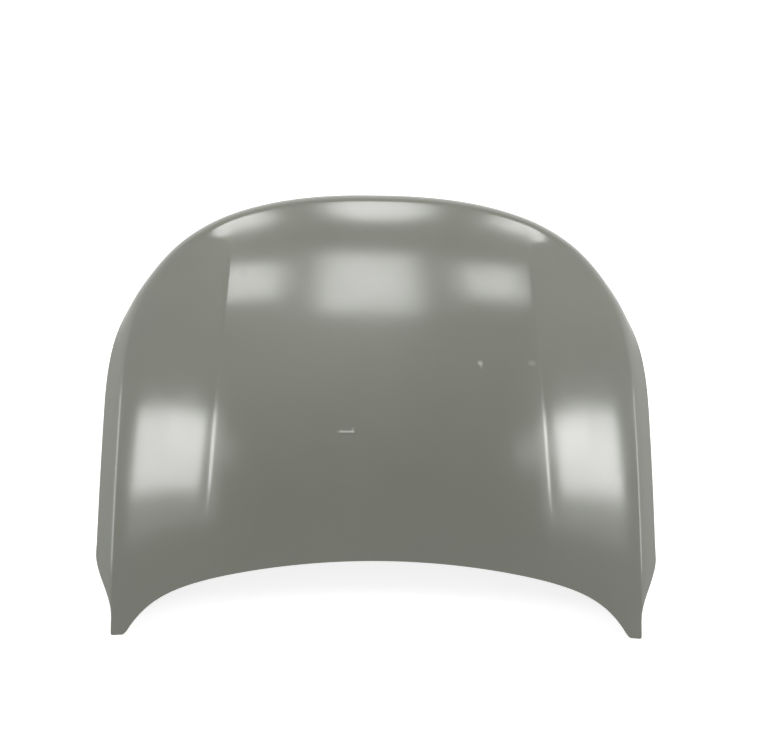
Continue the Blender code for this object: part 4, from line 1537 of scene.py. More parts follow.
@dataclass
class InnerFrame:
    """The inner pressing: flange, channel, fan of beads, pads and openings."""

    form: PanelForm
    fan: Fan
    pads: Pads
    finish: FramePrimer = field(default_factory=FramePrimer)
    half_stations: int = 150
    floor: float = 0.022
    prong: float = 0.005
    prong_start: float = 0.045
    prong_fade: float = 0.06
    prong_in: float = 0.32
    nose_hole_x: float = 0.322
    nose_hole_behind: float = 0.030
    nose_hole_half: Pair = (0.042, 0.024)
    rim_rise: float = 0.0016
    rim_width: float = 0.009
    fill_step: float = 0.017
    fill_clear: float = 0.008
    wall_rows: int = 7
    bend_row: float = 1.3
    inset_share: float = 0.68
    depth_share: float = 0.3
    knee_in: float = 0.30
    knee_spread: float = 0.42
    knee_drop: float = 1.05
    loop_step: float = 0.02
    bead_lines: int = 6
    pad_lines: int = 4
    rim_slope: float = 0.7

    def floor_depth(self, x: Array, y: Array) -> Array:
        """Depth of the floor below the outer face: shallow in the rear prongs.

        Args:
            x: places across.
            y: places along.

        Returns:
            Depths.
        """
        behind = smooth((self.form.rear_y - self.prong_start - y) / self.prong_fade)
        prong = behind * smooth((np.abs(x) - self.form.half + self.prong_in) / self.prong_fade)
        return self.floor + (self.prong - self.floor) * prong

    def openings(self) -> list[tuple[Array, Array, float]]:
        """Middle line and half width of every lightening opening.

        Returns:
            Two ends and the half width of each.
        """
        out = [(a, b, self.fan.slot_half) for a, b in self.fan.slots()]
        y = self.pads.latch_y - self.nose_hole_behind
        reach = self.nose_hole_half[0] - self.nose_hole_half[1]
        for side in Side:
            x = side.value * self.nose_hole_x
            ends = np.array([x - reach, y]), np.array([x + reach, y])
            out.append((*ends, self.nose_hole_half[1]))
        return out

    def rows(self, rim: Rim) -> tuple[list[Array], list[Array]]:
        """Rows of the flange and the channel's wall, from the edge to the floor.

        Args:
            rim: the bonnet's rim.

        Returns:
            Upper rows with the floor's edge last, and the first two lower rows.
        """
        f, hem = self.form, rim.hem
        tip, tip_n = rim.row(f.flange_tip), rim.normals(f.flange_tip)
        row, row_n = rim.row(hem), rim.normals(hem)
        bend, bend_n = rim.row(self.bend_row * hem), rim.normals(self.bend_row * hem)
        near, far = f.skin + f.gap, f.skin + f.gap + f.sheet
        deep = (near + f.joggle * hem / f.hem)[:, None]
        start = bend - bend_n * deep
        inset = np.minimum(self.fan.frame_inset, self.inset_share * rim.room)
        plan = rim.points - rim.out * inset[:, None]
        depth = self.floor_depth(plan[:, 0], plan[:, 1])
        depth = np.minimum(depth, self.depth_share * rim.room)
        base = np.column_stack([plan, f.top(plan[:, 0], plan[:, 1]) - depth])
        across = (self.knee_in + self.knee_spread * rim.rise)[:, None]
        tall = 1.0 - self.knee_drop * rim.rise
        knee = start + (base - start) * across
        knee[:, 2] = start[:, 2] + (base[:, 2] - start[:, 2]) * tall
        upper = [tip - tip_n * near, row - row_n * near]
        for k in range(self.wall_rows + 1):
            t = k / self.wall_rows
            upper.append((1 - t) ** 2 * start + 2 * t * (1 - t) * knee + t * t * base)
        return upper, [tip - tip_n * far, row - row_n * far]

    def loops(self) -> tuple[list[Array], list[Array]]:
        """Loops that the triangles follow inside the floor's edge, and the openings.

        Returns:
            The loops, and the openings and bolt holes.
        """
        fan, pads, step = self.fan, self.pads, self.loop_step
        lines, holes = [], []
        for a, b in fan.beads():
            for k in range(self.bead_lines):
                half = fan.half - fan.wall * k / (self.bead_lines - 1)
                lines.append(Plan.capsule(a, b, half, step))
        for a, b, half in self.openings():
            holes.append(Plan.capsule(a, b, half, step))
            lines += [Plan.capsule(a, b, half + self.rim_width * k / 2, step) for k in (1, 2)]
        for centre, half, r, _ in pads.areas():
            for k in range(self.pad_lines):
                grow = pads.blend * k / (self.pad_lines - 1)
                wide = (half[0] + grow, half[1] + grow)
                lines.append(Plan.rounded(centre, wide, r + grow, step))
        for side in Side:
            holes += [Plan.circle(p, pads.hinge_hole) for p in pads.hinge_bolts(side)]
        holes += [Plan.circle(p, pads.latch_hole) for p in pads.latch_bolts()]
        return lines, holes

    def filler(self, loop: Array, loops: list[Array]) -> Array:
        """Free points between the loops.

        Args:
            loop: the floor's edge.
            loops: the loops inside it.

        Returns:
            Plan points.
        """
        f, step = self.form, self.fill_step
        xs, ys = np.arange(-f.half, f.half, step), np.arange(f.tip_y, f.nose_y, step)
        points = np.array([(x, y) for y in ys for x in xs])
        points = points[Plan.inside(points, loop)]
        for other in [loop] + loops:
            points = points[Plan.clear_of(points, other, self.fill_clear)]
        for a, b, half in self.openings():
            points = points[Plan.to_line(points, a, b) > half]
        return points

    def pressed(self, xy: Array, tris: Array) -> Array:
        """Rise of the beads over the floor, pressed by a node tree along their lines.

        Args:
            xy: plan points of the floor.
            tris: its triangles.

        Returns:
            Rises of its points.
        """
        g = GeometryGraph("pressed_beads")
        g.size("Half Width", self.fan.half)
        g.size("Wall", self.fan.wall)
        g.size("Height", self.floor - self.fan.depth)
        flag = g.node("GeometryNodeInputNamedAttribute", {"data_type": "BOOLEAN"},
                      {"Name": "line"})
        split = g.node("GeometryNodeSeparateGeometry", {"domain": "POINT"},
                       {0: g.input("Geometry"), "Selection": flag})
        near = g.node("GeometryNodeProximity", {"target_element": "EDGES"}, {0: split},
                      out="Distance")
        t = ((g.input("Half Width") - near) / g.input("Wall")).least(1.0).most(0.0)
        rise = t * t * (3.0 - 2.0 * t) * g.input("Height")
        up = g.node("ShaderNodeCombineXYZ", None, {"Z": rise})
        moved = {0: split.also("Inverted"), "Offset": up}
        g.finish(g.node("GeometryNodeSetPosition", None, moved))
        ends = [(*p, 0.0) for line in self.fan.beads() for p in line]
        points = np.concatenate([np.column_stack([xy, np.zeros(len(xy))]), np.array(ends)])
        edges = [(len(xy) + k, len(xy) + k + 1) for k in range(0, len(ends), 2)]
        flags = {"line": np.arange(len(points)) >= len(xy)}
        mesh = g.run("pressed_floor", points, edges, [tuple(map(int, t)) for t in tris], flags)
        found = mesh_points(mesh)
        bpy.data.meshes.remove(mesh)
        if len(found) != len(xy) or np.abs(found[:, :2] - xy).max() > 1e-5:
            raise ValueError("the pressed floor lost its order")
        return found[:, 2]

    def build(self) -> Object:
        """Build the frame and dress it.

        Returns:
            The piece.
        """
        f = self.form
        rim = Rim(f, self.half_stations)
        upper, lower = self.rows(rim)
        loop = upper[-1][:, :2]
        lines, holes = self.loops()
        extra = self.filler(loop, lines + holes)
        xy, tris, rings = Plan.triangulate([loop] + lines, holes, extra, [])
        top = f.top(xy[:, 0], xy[:, 1])
        z = top - self.floor_depth(xy[:, 0], xy[:, 1]) + self.pressed(xy, tris)
        for a, b, half in self.openings():
            edge = Plan.to_line(xy, a, b) - half
            z += self.rim_rise * smooth((self.rim_width - edge) / (self.rim_slope * self.rim_width))
        for centre, half, r, level in self.pads.areas():
            t = smooth(1.0 - Plan.to_rounded(xy, centre, half, r) / self.pads.blend)
            z = z * (1 - t) + level * t
        z[rings[0]] = upper[-1][:, 2]
        sheet = np.concatenate([np.column_stack([xy, z])] + upper[:-1])
        size, count = len(xy), rim.count
        starts = [size + k * count for k in range(len(upper) - 1)]
        ids = [list(range(start, start + count)) for start in starts]
        faces = [tuple(t) for t in tris]
        for a, b in zip([rings[0]] + ids[:0:-1], ids[::-1]):
            faces += [t[::-1] for t in Piece.band(a, b)]
        faces = np.array(faces)
        n = self.vertex_normals(sheet, faces)
        under = sheet - n * f.sheet
        under[ids[0]], under[ids[1]] = lower
        total = len(sheet)
        solid = [tuple(t) for t in faces] + [tuple(t[::-1] + total) for t in faces]
        for ring in [ids[0]] + rings[1 + len(lines):]:
            solid += Piece.band(ring, [k + total for k in ring])
        points = np.concatenate([sheet, under])
        points[:, 2] = np.maximum(points[:, 2], f.skin)
        mesh = Piece.mesh("frame_pressing", points, solid, np.concatenate([n, -n]))
        return Piece.show(mesh, self.finish.material(), Slot.FRAME, "inner_frame")

    @staticmethod
    def vertex_normals(points: Array, tris: Array) -> Array:
        """Upward unit normals of the sheet's points.

        Args:
            points: the points.
            tris: the triangles.

        Returns:
            A normal for each point.
        """
        a, b, c = points[tris[:, 0]], points[tris[:, 1]], points[tris[:, 2]]
        face = unit(np.cross(b - a, c - a))
        total = np.zeros_like(points)
        for k in range(3):
            p, q, r = points[tris[:, k]], points[tris[:, k - 2]], points[tris[:, k - 1]]
            angle = np.arccos(np.clip((unit(q - p) * unit(r - p)).sum(1), -1, 1))
            np.add.at(total, tris[:, k], face * angle[:, None])
        return unit(total)


@dataclass
class SheetFixings:
    """Hem sealer, spot welds and mastic dabs, each laid by its own node tree."""

    form: PanelForm
    fan: Fan
    pads: Pads
    sealer_r: float = 0.0011
    sealer_depth: float = 0.0025
    sealer_beyond: float = 0.0004
    sealer_uneven: float = 0.22
    sealer_waves: float = 55.0
    sealer_points: int = 900
    sealer_sides: int = 8
    sealer_seed: int = 4
    weld_r: float = 0.0030
    weld_height: float = 0.00045
    weld_seed: int = 7
    weld_ball: tuple[int, int] = (18, 8)
    weld_spread: Pair = (0.85, 1.15)
    hinge_welds: tuple[tuple[float, ...], ...] = ((-0.021, 0.021), (-0.033, -0.001, 0.033))
    latch_welds: tuple[tuple[float, ...], ...] = (
        (-0.115, -0.088, -0.062, 0.062, 0.088, 0.115), (-0.025, 0.025))
    dab_r: float = 0.0135
    dab_seed: int = 11
    dab_ball: tuple[int, int] = (28, 14)
    dab_turn: float = 6.283
    dab_front: float = 0.1715
    dab_rear: float = -0.2104
    dab_nose_x: float = 0.175
    dab_square: float = 0.4
    dab_spread: float = 0.6
    dab_thin: float = 0.9
    dab_waves: tuple[tuple[float, int, float], ...] = ((0.05, 3, 1.0), (0.03, 5, 2.1))
    stiff_depth: float = 0.005

    def sealer(self, rim: Rim) -> Object:
        """Soft bead of sealer along the inner edge of the hem.

        Args:
            rim: the bonnet's rim.

        Returns:
            The piece.
        """
        back = rim.hem + self.sealer_beyond
        path = rim.row(back) - rim.normals(back) * self.sealer_depth
        g = GeometryGraph("laid_sealer")
        g.size("Radius", self.sealer_r)
        g.size("Unevenness", self.sealer_uneven)
        g.size("Seed", self.sealer_seed)
        curve = g.node("GeometryNodeMeshToCurve", None, {0: g.input("Geometry")})
        curve = g.node("GeometryNodeResampleCurve", None,
                       {0: curve, "Count": self.sealer_points})
        noise = g.node("ShaderNodeTexNoise", {"noise_dimensions": "4D"},
                       {"W": g.input("Seed"), "Scale": self.sealer_waves, "Detail": 1.0})
        wide = g.input("Radius") * (1.0 + (noise - 0.5) * g.input("Unevenness") * 2.0)
        ring = g.node("GeometryNodeCurvePrimitiveCircle", None,
                      {"Resolution": self.sealer_sides, "Radius": 1.0})
        tube = g.node("GeometryNodeCurveToMesh", None, {0: curve, 1: ring, "Scale": wide})
        g.dress(tube, Sealer().material())
        count = len(path)
        edges = [(k, (k + 1) % count) for k in range(count)]
        mesh = g.run("hem_sealer", path, edges, [])
        return Piece.show(mesh, None, Slot.FRAME)

    def weld_places(self) -> Array:
        """Places of the spot welds under the hinge and latch pads.

        Returns:
            Their places.
        """
        pads, places = self.pads, []
        for side in Side:
            x, y = side.value * pads.hinge_x, pads.hinge_y
            z = pads.hinge_z - self.form.sheet
            for dx in self.hinge_welds[0]:
                places += [(x + dx, y + dy, z) for dy in self.hinge_welds[1]]
        z = pads.latch_z - self.form.sheet
        for x in self.latch_welds[0]:
            places += [(x, pads.latch_y + dy, z) for dy in self.latch_welds[1]]
        return np.array(places)

    def welds(self, material: Material) -> Object:
        """Shallow spot welds, each a little proud of the pad.

        Args:
            material: their finish.

        Returns:
            The piece.
        """
        g = GeometryGraph("spot_welds")
        g.size("Radius", self.weld_r)
        g.size("Height", self.weld_height)
        g.size("Seed", self.weld_seed)
        wide = g.input("Radius") * g.random(*self.weld_spread)
        g.dress(g.balls(*self.weld_ball, (wide, g.input("Height"))), material)
        return Piece.show(g.run("spot_welds", self.weld_places(), [], []), None, Slot.FRAME)

    @property
    def dab_half(self) -> float:
        """Half height of a dab between its two sheets."""
        return (self.fan.depth - self.form.skin) / 2 - self.form.gap

    def dab_places(self) -> Array:
        """Middle of every mastic dab, halfway between the sheets it joins.

        Returns:
            Their places.
        """
        spots = []
        for a, b in self.fan.beads():
            for y in (self.dab_rear, self.dab_front):
                x = a[0] + (b[0] - a[0]) * (y - a[1]) / (b[1] - a[1])
                spots.append((x, y, self.fan.depth))
        for side in Side:
            spots.append((side.value * self.dab_nose_x, self.pads.latch_y, self.stiff_depth))
        x, y, depth = np.array(spots).T
        return np.column_stack([x, y, self.form.top(x, y) - (self.form.skin + depth) / 2])

    def dabs(self) -> Object:
        """Squeezed mastic dabs with uneven rims, tilted as the panel is there.

        Returns:
            The piece.
        """
        g = GeometryGraph("mastic_dabs")
        g.size("Radius", self.dab_r)
        g.size("Half Height", self.dab_half)
        g.size("Seed", self.dab_seed)
        half = (g.input("Radius"), g.input("Half Height"))
        turn = g.random(0.0, self.dab_turn)
        g.dress(g.balls(*self.dab_ball, half, turn), Mastic().material())
        places = self.dab_places()
        mesh = g.run("mastic_dabs", places, [], [])
        self.tilt(mesh, places)
        names = ["mastic_%02d" % (k + 1) for k in range(len(places))]
        return Piece.show(mesh, None, Slot.MASTIC, *names)

    def tilt(self, mesh: Mesh, places: Array) -> None:
        """Square the dabs' sides, roughen their rims and lay them along the panel.

        Args:
            mesh: the dabs' mesh.
            places: their places.
        """
        co, half = mesh_points(mesh), self.dab_half
        each = len(co) // len(places)
        for k, place in enumerate(places):
            part = co[k * each:(k + 1) * each] - place
            r = np.hypot(part[:, 0], part[:, 1]) / self.dab_r
            turn = np.arctan2(part[:, 1], part[:, 0])
            high = np.minimum(1.0, (np.abs(part[:, 2]) / half) ** self.dab_square)
            flat = np.sign(part[:, 2]) * half * high
            uneven = 1.0
            for size, waves, shift in self.dab_waves:
                uneven = uneven + size * np.sin(waves * turn + shift * k)
            spread = np.minimum(1.0, r) ** self.dab_spread / np.maximum(r, 1e-6)
            grow = np.where(r > 1e-6, spread, 1.0) * uneven
            x, y = place[0] + part[:, 0] * grow, place[1] + part[:, 1] * grow
            drop = self.form.top(place[0], place[1]) - self.form.top(x, y)
            z = place[2] + flat * self.dab_thin - drop
            co[k * each:(k + 1) * each] = np.column_stack([x, y, z])
        mesh.vertices.foreach_set("co", co.ravel())
        mesh.update()


@dataclass
class Fastener:
    """A hexagon bolt or weld nut turned out of rings, with chamfers and thread.

    Its shares count from the width across flats, or from the bore or shank for the thread.
    """

    across: float
    height: float
    bore: float
    points: int = 36
    sharp: float = 35.0
    thread: float = 0.0002
    nut_seat: float = 0.47
    nut_face: float = 0.49
    nut_corner: float = 0.98
    nut_bevel: float = 0.0003
    nut_shoulder: float = 0.75
    nut_mouth: float = 1.12
    nut_root: float = 1.06
    nut_runout: float = 0.0004
    nut_pitch: float = 0.0012
    dish: float = 0.30
    dish_depth: float = 0.0002
    head_top: float = 0.44
    head_bevel: float = 0.0009
    flange: float = 0.575
    flange_rim: float = 0.56
    flange_levels: Triple = (-0.0013, -0.0012, -0.0008)
    bolt_pitch: float = 0.0010
    bolt_root: float = 0.90
    tip: Pair = (0.88, 0.70)
    tip_length: float = 0.0006

    def ring(self, r: float, z: float, corner: float = 0.0) -> Array:
        """Ring of points, six-sided up to a largest radius.

        Args:
            r: radius of a round ring, or of the circle that trims a hexagon's corners.
            z: its height.
            corner: distance across the hexagon's flats, or 0 for a round ring.

        Returns:
            The points.
        """
        a = 2 * math.pi * np.arange(self.points) / self.points
        radius = np.full(self.points, r)
        if corner:
            turn = (a + math.pi / 6) % (math.pi / 3) - math.pi / 6
            radius = np.minimum(corner / 2 / np.cos(turn), r)
        return np.stack([radius * np.cos(a), radius * np.sin(a), np.full(self.points, z)], 1)

    def loft(self, name: str, rings: list[Array], place: Vector, closed: bool) -> Mesh:
        """Mesh through the rings.

        Args:
            name: its name.
            rings: the rings, in order.
            place: where their origin stands.
            closed: whether the last ring joins the first; otherwise both ends are capped.

        Returns:
            The mesh.
        """
        count = self.points
        ids = [list(range(k * count, (k + 1) * count)) for k in range(len(rings))]
        faces = [] if closed else [tuple(ids[0]), tuple(ids[-1])]
        for a, b in zip(ids, ids[1:] + (ids[:1] if closed else [])):
            faces += [(a[i], a[(i + 1) % count], b[(i + 1) % count], b[i]) for i in range(count)]
        mesh = Piece.mesh(name, np.concatenate(rings) + np.array(place), faces)
        mesh.set_sharp_from_angle(angle=math.radians(self.sharp))
        return mesh

    def nut(self, name: str, place: Vector) -> Mesh:
        """Weld nut with chamfered corners, a seat ring and a threaded bore.

        Args:
            name: its name.
            place: middle of its seat.

        Returns:
            The mesh.
        """
        w, h, b, mouth = self.across, self.height, self.bore, self.bore * self.nut_mouth
        corner = w / math.sqrt(3)
        rings = [self.ring(mouth, 0.0), self.ring(w * self.nut_seat, 0.0),
                 self.ring(corner * self.nut_corner, self.nut_bevel, w),
                 self.ring(corner, h * self.nut_shoulder, w),
                 self.ring(w * self.nut_face, h), self.ring(mouth, h)]
        turns = max(4, round(h / self.nut_pitch))
        for k in range(turns):
            z = h - self.nut_runout - (h - 2 * self.nut_runout) * (k + 0.5) / turns
            rings += [self.ring(b, z + self.thread), self.ring(b * self.nut_root, z - self.thread)]
        return self.loft(name, rings, place, True)

    def bolt(self, name: str, place: Vector, shank: float, length: float) -> Mesh:
        """Bolt with its washer flange, hexagon head and threaded shank, head down.

        Args:
            name: its name.
            place: middle of its seat.
            shank: radius of the shank.
            length: its length.

        Returns:
            The mesh.
        """
        w, h = self.across, self.height
        corner, (low, rim, high) = w / math.sqrt(3), self.flange_levels
        rings = [self.ring(w * self.dish, -h + self.dish_depth), self.ring(w * self.head_top, -h),
                 self.ring(corner, -h + self.head_bevel, w), self.ring(corner, low, w),
                 self.ring(w * self.flange_rim, rim), self.ring(w * self.flange, high),
                 self.ring(w * self.flange, 0.0), self.ring(shank, 0.0)]
        turns = max(6, round(length / self.bolt_pitch))
        for k in range(turns):
            z = (length - 2 * self.tip_length) * (k + 0.5) / turns
            rings.append(self.ring(shank * self.bolt_root, z - self.thread))
            rings.append(self.ring(shank, z + self.thread))
        rings.append(self.ring(shank * self.tip[0], length - self.tip_length))
        rings.append(self.ring(shank * self.tip[1], length))
        return self.loft(name, rings, place, False)


@dataclass
class Striker:
    """Striker plate, wire loop, bolts and nuts under the latch pad."""

    form: PanelForm
    pads: Pads
    half: Pair = (0.046, 0.018)
    corner: float = 0.010
    plate: float = 0.003
    latch_plate: float = 0.0012
    wire_r: float = 0.004
    loop_half: float = 0.022
    loop_drop: float = 0.044
    loop_bend: float = 0.012
    wire_sides: int = 24
    bend_steps: int = 12
    edge: float = 0.0006
    outline_step: float = 0.01
    sharp: float = 50.0
    fillet_reach: float = 0.0028
    fillet_rise: float = 0.0030
    fillet_sink: float = 0.0001
    fillet_rings: int = 9
    fillet_sides: int = 28
    fillet_waves: tuple[float, int] = (0.04, 7)
    nut: Fastener = field(default_factory=lambda: Fastener(0.010, 0.005, 0.0033))
    head: Fastener = field(default_factory=lambda: Fastener(0.010, 0.004, 0.003))
    shank: Pair = (0.003, 0.015)

    @property
    def under(self) -> float:
        """Upper face of the striker plate."""
        return self.pads.latch_z - self.form.sheet - self.form.gap

    def build(self, zinc: Material) -> None:
        """Build all its pieces and dress them.

        Args:
            zinc: their finish.
        """
        self.base(zinc)
        self.loop(zinc)
        self.fillets(zinc)
        seat = self.under - self.plate - self.form.gap
        top = self.pads.latch_z + 2 * self.form.gap + self.latch_plate
        for word, (x, y) in zip(("left", "right"), self.pads.latch_bolts()):
            bolt = self.head.bolt("striker_screw_" + word, Vector((x, y, seat)), *self.shank)
            Piece.show(bolt, zinc, Slot.ZINC, "striker_bolt_" + word)
            nut = self.nut.nut("striker_weld_nut_" + word, Vector((x, y, top)))
            Piece.show(nut, zinc, Slot.ZINC, "striker_nut_" + word)

    def base(self, zinc: Material) -> None:
        """Plate with rolled edges and two bolt holes.

        Args:
            zinc: its finish.
        """
        loop = Plan.rounded((0.0, self.pads.latch_y), self.half, self.corner, self.outline_step)
        holes = [Plan.circle(p, self.pads.latch_hole) for p in self.pads.latch_bolts()]
        xy, tris, rings = Plan.triangulate([loop], holes, np.zeros((0, 2)), [])
        size, z1 = len(xy), self.under
        z0, edge = z1 - self.plate, self.edge
        inner = xy.copy()
        centre = np.array([0.0, self.pads.latch_y])
        inner[rings[0]] = centre + (xy[rings[0]] - centre) * (1 - edge / self.half[1])
        levels = [(inner, z0), (xy, z0 + edge), (xy, z1 - edge), (inner, z1)]
        points = np.concatenate([np.column_stack([p, np.full(size, z)]) for p, z in levels])
        faces = [tuple(t[::-1]) for t in tris] + [tuple(t + 3 * size) for t in tris]
        for ring in rings:
            walls = [[i + k * size for i in ring] for k in range(len(levels))]
            for low, high in zip(walls, walls[1:]):
                faces += Piece.band(low, high)
        mesh = Piece.mesh("striker_base", points, faces)
        bm = bmesh.new()
        bm.from_mesh(mesh)
        loose = [v for v in bm.verts if not v.link_faces]
        bmesh.ops.delete(bm, geom=loose, context="VERTS")
        bm.to_mesh(mesh)
        bm.free()
        mesh.set_sharp_from_angle(angle=math.radians(self.sharp))
        Piece.show(mesh, zinc, Slot.ZINC, "striker_plate")

    def loop(self, zinc: Material) -> None:
        """Round wire bent to a U, swept by a node tree.

        Args:
            zinc: its finish.
        """
        z, y = self.under - self.plate - self.form.gap, self.pads.latch_y
        leg, r = self.loop_drop - self.loop_bend, self.loop_bend
        path = [(-self.loop_half, y, z), (-self.loop_half, y, z - leg)]
        for side in Side:
            cx = side.value * (self.loop_half - r)
            start = math.pi if side is Side.LEFT else 1.5 * math.pi
            for k in range(1, self.bend_steps + 1):
                a = start + math.pi / 2 * k / self.bend_steps
                path.append((cx + r * math.cos(a), y, z - leg + r * math.sin(a)))
        path.append((self.loop_half, y, z))
        g = GeometryGraph("bent_wire")
        g.size("Wire Radius", self.wire_r)
        g.size("Sides", self.wire_sides)
        curve = g.node("GeometryNodeMeshToCurve", None, {0: g.input("Geometry")})
        ring = g.node("GeometryNodeCurvePrimitiveCircle", None,
                      {"Resolution": g.input("Sides"), "Radius": g.input("Wire Radius")})
        tube = g.node("GeometryNodeCurveToMesh", None, {0: curve, 1: ring, "Fill Caps": True})
        g.dress(tube, zinc)
        edges = [(k, k + 1) for k in range(len(path) - 1)]
        mesh = g.run("striker_wire", np.array(path), edges, [])
        Piece.show(mesh, None, Slot.ZINC, "striker_loop")

    def fillets(self, zinc: Material) -> None:
        """Weld fillets round the feet of the wire.

        Args:
            zinc: their finish.
        """
        top = self.under - self.plate - self.fillet_sink
        rings, sides, (size, waves) = self.fillet_rings, self.fillet_sides, self.fillet_waves
        points, faces = [], []
        for side in Side:
            start = len(points)
            for k in range(rings):
                a = math.pi / 2 * k / (rings - 1)
                r = self.wire_r + self.fillet_reach * (1 - math.sin(a))
                z = top - self.fillet_rise * (1 - math.cos(a))
                for j in range(sides):
                    t = 2 * math.pi * j / sides
                    rough = 1.0 + size * math.sin(waves * t) * math.cos(a)
                    points.append((side.value * self.loop_half + r * rough * math.cos(t),
                                   self.pads.latch_y + r * rough * math.sin(t), z))
            for k in range(start, start + (rings - 1) * sides, sides):
                faces += [(k + j, k + (j + 1) % sides, k + (j + 1) % sides + sides, k + j + sides)
                          for j in range(sides)]
            faces.append(tuple(range(start, start + sides)))
            faces.append(tuple(range(start + (rings - 1) * sides, start + rings * sides)))
        mesh = Piece.mesh("striker_fillets", np.array(points), faces)
        Piece.show(mesh, zinc, Slot.ZINC)


@dataclass
class HingeNuts:
    """Weld nuts on the hinge plates."""

    form: PanelForm
    pads: Pads
    plate: float = 0.0015
    nut: Fastener = field(default_factory=lambda: Fastener(0.013, 0.0065, 0.004))

    def build(self, zinc: Material) -> None:
        """Build the four nuts and dress them.

        Args:
            zinc: their finish.
        """
        seat = self.pads.hinge_z + 2 * self.form.gap + self.plate
        for side in Side:
            word = side.name.lower()
            for end, (x, y) in zip(("rear", "front"), self.pads.hinge_bolts(side)):
                name = "hinge_weld_nut_%s_%s" % (word, end)
                mesh = self.nut.nut(name, Vector((x, y, seat)))
                Piece.show(mesh, zinc, Slot.ZINC, "hinge_nut_%s_%s" % (word, end))


class LampShape(Enum):
    """Outline of a soft lamp."""

    PANEL = "RECTANGLE"
    OVAL = "ELLIPSE"


@dataclass(frozen=True)
class Lamp:
    """A soft lamp, placed by its middle and aimed at a point.

    A lamp for shine only is seen in reflections and lights no matt surface.
    """

    name: str
    place: Triple
    aim: Triple
    size: Pair
    radiance: float
    shape: LampShape = LampShape.PANEL
    roll: float = 0.0
    shine_only: bool = False

    def hang(self) -> None:
        """Make the lamp."""
        data = bpy.data.lights.new(self.name, "AREA")
        data.shape = self.shape.value
        data.size, data.size_y = self.size
        share = math.pi / 4 if self.shape is LampShape.OVAL else 1.0
        data.energy = self.radiance * math.pi * self.size[0] * self.size[1] * share
        item = add_object(self.name, data)
        way = Vector(self.aim) - Vector(self.place)
        item.location = self.place
        turn = way.to_track_quat("-Z", "Y") @ Quaternion((0.0, 0.0, 1.0), math.radians(self.roll))
        item.rotation_euler = turn.to_euler()
        item.visible_camera = False
        item.visible_diffuse = not self.shine_only


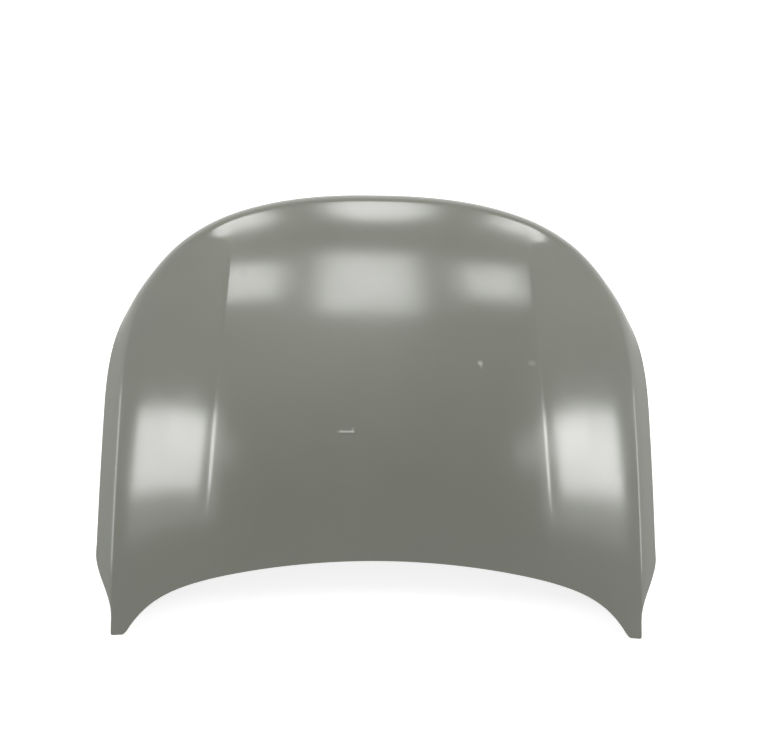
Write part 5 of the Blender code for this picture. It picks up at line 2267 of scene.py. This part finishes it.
@dataclass
class Studio:
    """Floor, lamps, surroundings and camera.

    The surroundings have a plain level for light, and their own levels in reflections: overhead,
    more around the horizon, and a soft patch ahead with a darker gap right of its middle.
    """

    ambient: float = 0.36
    overhead: float = 0.82
    around: float = 0.38
    ahead: float = 0.95
    ahead_rise: Pair = (0.10, 0.55)
    ahead_fall: Pair = (0.62, 0.78)
    ahead_narrow: float = 0.85
    gap: float = 0.70
    gap_start: Pair = (0.04, 0.16)
    gap_end: Pair = (0.28, 0.42)
    behind: float = 0.38
    behind_end: Pair = (-0.30, 0.10)
    floor_half: float = 40.0
    floor_z: float = -0.0004
    lens: float = 69.98
    sensor: float = 36.0
    eye: Triple = (-0.14002255, -1.14838940, 4.04442850)
    right: Triple = (0.99923363, 0.00198982, 0.03909201)
    up: Triple = (-0.01361545, 0.95400997, 0.29946551)
    back: Triple = (-0.03669829, -0.29976827, 0.95330599)
    lamps: tuple[Lamp, ...] = (
        Lamp("ceiling_left", (-1.13, 2.54, 3.0), (-1.13, 2.54, 0.0), (0.70, 0.84), 6.4),
        Lamp("ceiling_middle", (0.01, 2.56, 3.0), (0.01, 2.56, 0.0), (0.86, 1.42), 6.1),
        Lamp("ceiling_right", (1.18, 2.61, 3.0), (1.18, 2.61, 0.0), (0.60, 0.84), 6.6),
        Lamp("front_left", (-1.76, 5.0, 2.95), (-0.38, 0.52, 0.12), (1.58, 0.96), 8.0,
             LampShape.OVAL, 14.0),
        Lamp("front_middle", (0.14, 5.0, 2.44), (0.0, 0.56, 0.12), (1.14, 0.96), 8.0,
             LampShape.OVAL),
        Lamp("front_right", (2.12, 5.0, 2.87), (0.38, 0.52, 0.12), (1.50, 0.92), 8.0,
             LampShape.OVAL, -12.0),
        Lamp("side_left", (-2.56, 0.455, 2.29), (-0.57, -0.15, 0.13), (0.76, 2.05), 7.2, roll=9.0),
        Lamp("side_right", (2.71, 0.46, 2.135), (0.57, -0.15, 0.13), (0.76, 1.95), 8.4, roll=-7.5),
        Lamp("glow_left", (-2.50, 0.28, 2.42), (-0.57, -0.15, 0.13), (1.10, 2.50), 1.0,
             roll=9.0, shine_only=True),
        Lamp("glow_right", (2.65, 0.28, 2.25), (0.57, -0.15, 0.13), (1.10, 2.35), 1.1,
             roll=-7.5, shine_only=True),
        Lamp("crease_left", (-2.02, 0.53, 2.83), (-0.44, -0.15, 0.14), (0.30, 1.80), 1.1,
             roll=9.0, shine_only=True),
        Lamp("crease_right", (2.12, 0.55, 2.72), (0.44, -0.15, 0.14), (0.30, 1.80), 2.2,
             roll=-7.5, shine_only=True),
        Lamp("edge_left", (-3.15, 0.26, 0.46), (-0.75, -0.18, 0.10), (1.25, 0.70), 3.3,
             shine_only=True),
        Lamp("edge_right", (3.15, 0.26, 0.40), (0.75, -0.18, 0.10), (1.25, 0.58), 3.6,
             shine_only=True),
    )

    def build(self) -> None:
        """Set up the whole studio."""
        self.floor()
        self.surroundings()
        for lamp in self.lamps:
            lamp.hang()
        self.camera()
        bpy.context.scene.view_settings.view_transform = "Standard"

    def floor(self) -> None:
        """Plain pale floor under the bonnet."""
        mesh = bpy.data.meshes.new("floor")
        signs = ((-1, -1), (1, -1), (1, 1), (-1, 1))
        corners = [(sx * self.floor_half, sy * self.floor_half, self.floor_z) for sx, sy in signs]
        mesh.from_pydata(corners, [], [(0, 1, 2, 3)])
        mesh.materials.append(Backdrop().material())
        add_object("floor", mesh)

    def surroundings(self) -> None:
        """Pale surroundings: white where they are seen, darker overhead in reflections."""
        world = bpy.data.worlds.new("surroundings")
        world.use_nodes = True
        bpy.context.scene.world = world
        g = Graph(world.node_tree)
        path = g.node("ShaderNodeLightPath")
        seen = path.also("Is Camera Ray").most(path.also("Is Transmission Ray"))
        gloss = path.also("Is Glossy Ray")
        way = g.node("ShaderNodeTexCoord", out="Generated")
        across = g.node("ShaderNodeSeparateXYZ", None, {0: way})
        forward, height = across.also("Y"), across.also("Z")
        ahead = forward.ramp(*self.ahead_rise) * (1.0 - forward.ramp(*self.ahead_fall))
        ahead = ahead * (1.0 - abs(across) * self.ahead_narrow) * self.ahead
        gap = across.ramp(*self.gap_start) * (1.0 - across.ramp(*self.gap_end))
        ahead = ahead * (1.0 - gap * self.gap)
        behind = (1.0 - forward.ramp(*self.behind_end)) * self.behind
        low = 1.0 - height.most(0.0)
        shown = self.overhead + low * self.around + ahead + behind
        level = self.ambient + seen * (1.0 - self.ambient) + gloss * (shown - self.ambient)
        node = world.node_tree.nodes["Background"]
        g.feed(node.inputs["Color"], (1.0, 1.0, 1.0))
        g.feed(node.inputs["Strength"], level)

    def camera(self) -> None:
        """Camera at the photograph's angle."""
        data = bpy.data.cameras.new("camera")
        data.lens, data.sensor_width = self.lens, self.sensor
        item = add_object("camera", data)
        turn = Matrix((self.right, self.up, self.back)).transposed()
        item.matrix_world = Matrix.Translation(self.eye) @ turn.to_4x4()
        bpy.context.scene.camera = item


def dress_nodes(names: list[str], material: Material) -> None:
    """Give CAD nodes that stay a better finish.

    Args:
        names: the nodes' names.
        material: their finish.
    """
    for name in names:
        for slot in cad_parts[name].material_slots:
            slot.material = material
        LOG.info("%s: finish %s", name, material.name)


def main() -> None:
    """Build the bonnet's pieces in order, dress them and set up the studio."""
    logging.basicConfig(level=logging.INFO, format="%(name)s %(message)s")
    form = PanelForm()
    fan, pads = Fan(form), Pads(form)
    skin = OuterSkin(form)
    rim = Rim(form, skin.half_stations)
    skin.build(rim)
    InnerFrame(form, fan, pads).build()
    zinc = ZincSteel().material()
    inner = FramePrimer().material("inner_plate_primer")
    fixings = SheetFixings(form, fan, pads)
    fixings.sealer(rim)
    fixings.welds(inner)
    fixings.dabs()
    Striker(form, pads).build(zinc)
    HingeNuts(form, pads).build(zinc)
    dress_nodes(["palm_stiffener", "latch_plate", "hinge_plate_left", "hinge_plate_right"], inner)
    Studio().build()


if __name__ == "__main__":
    main()
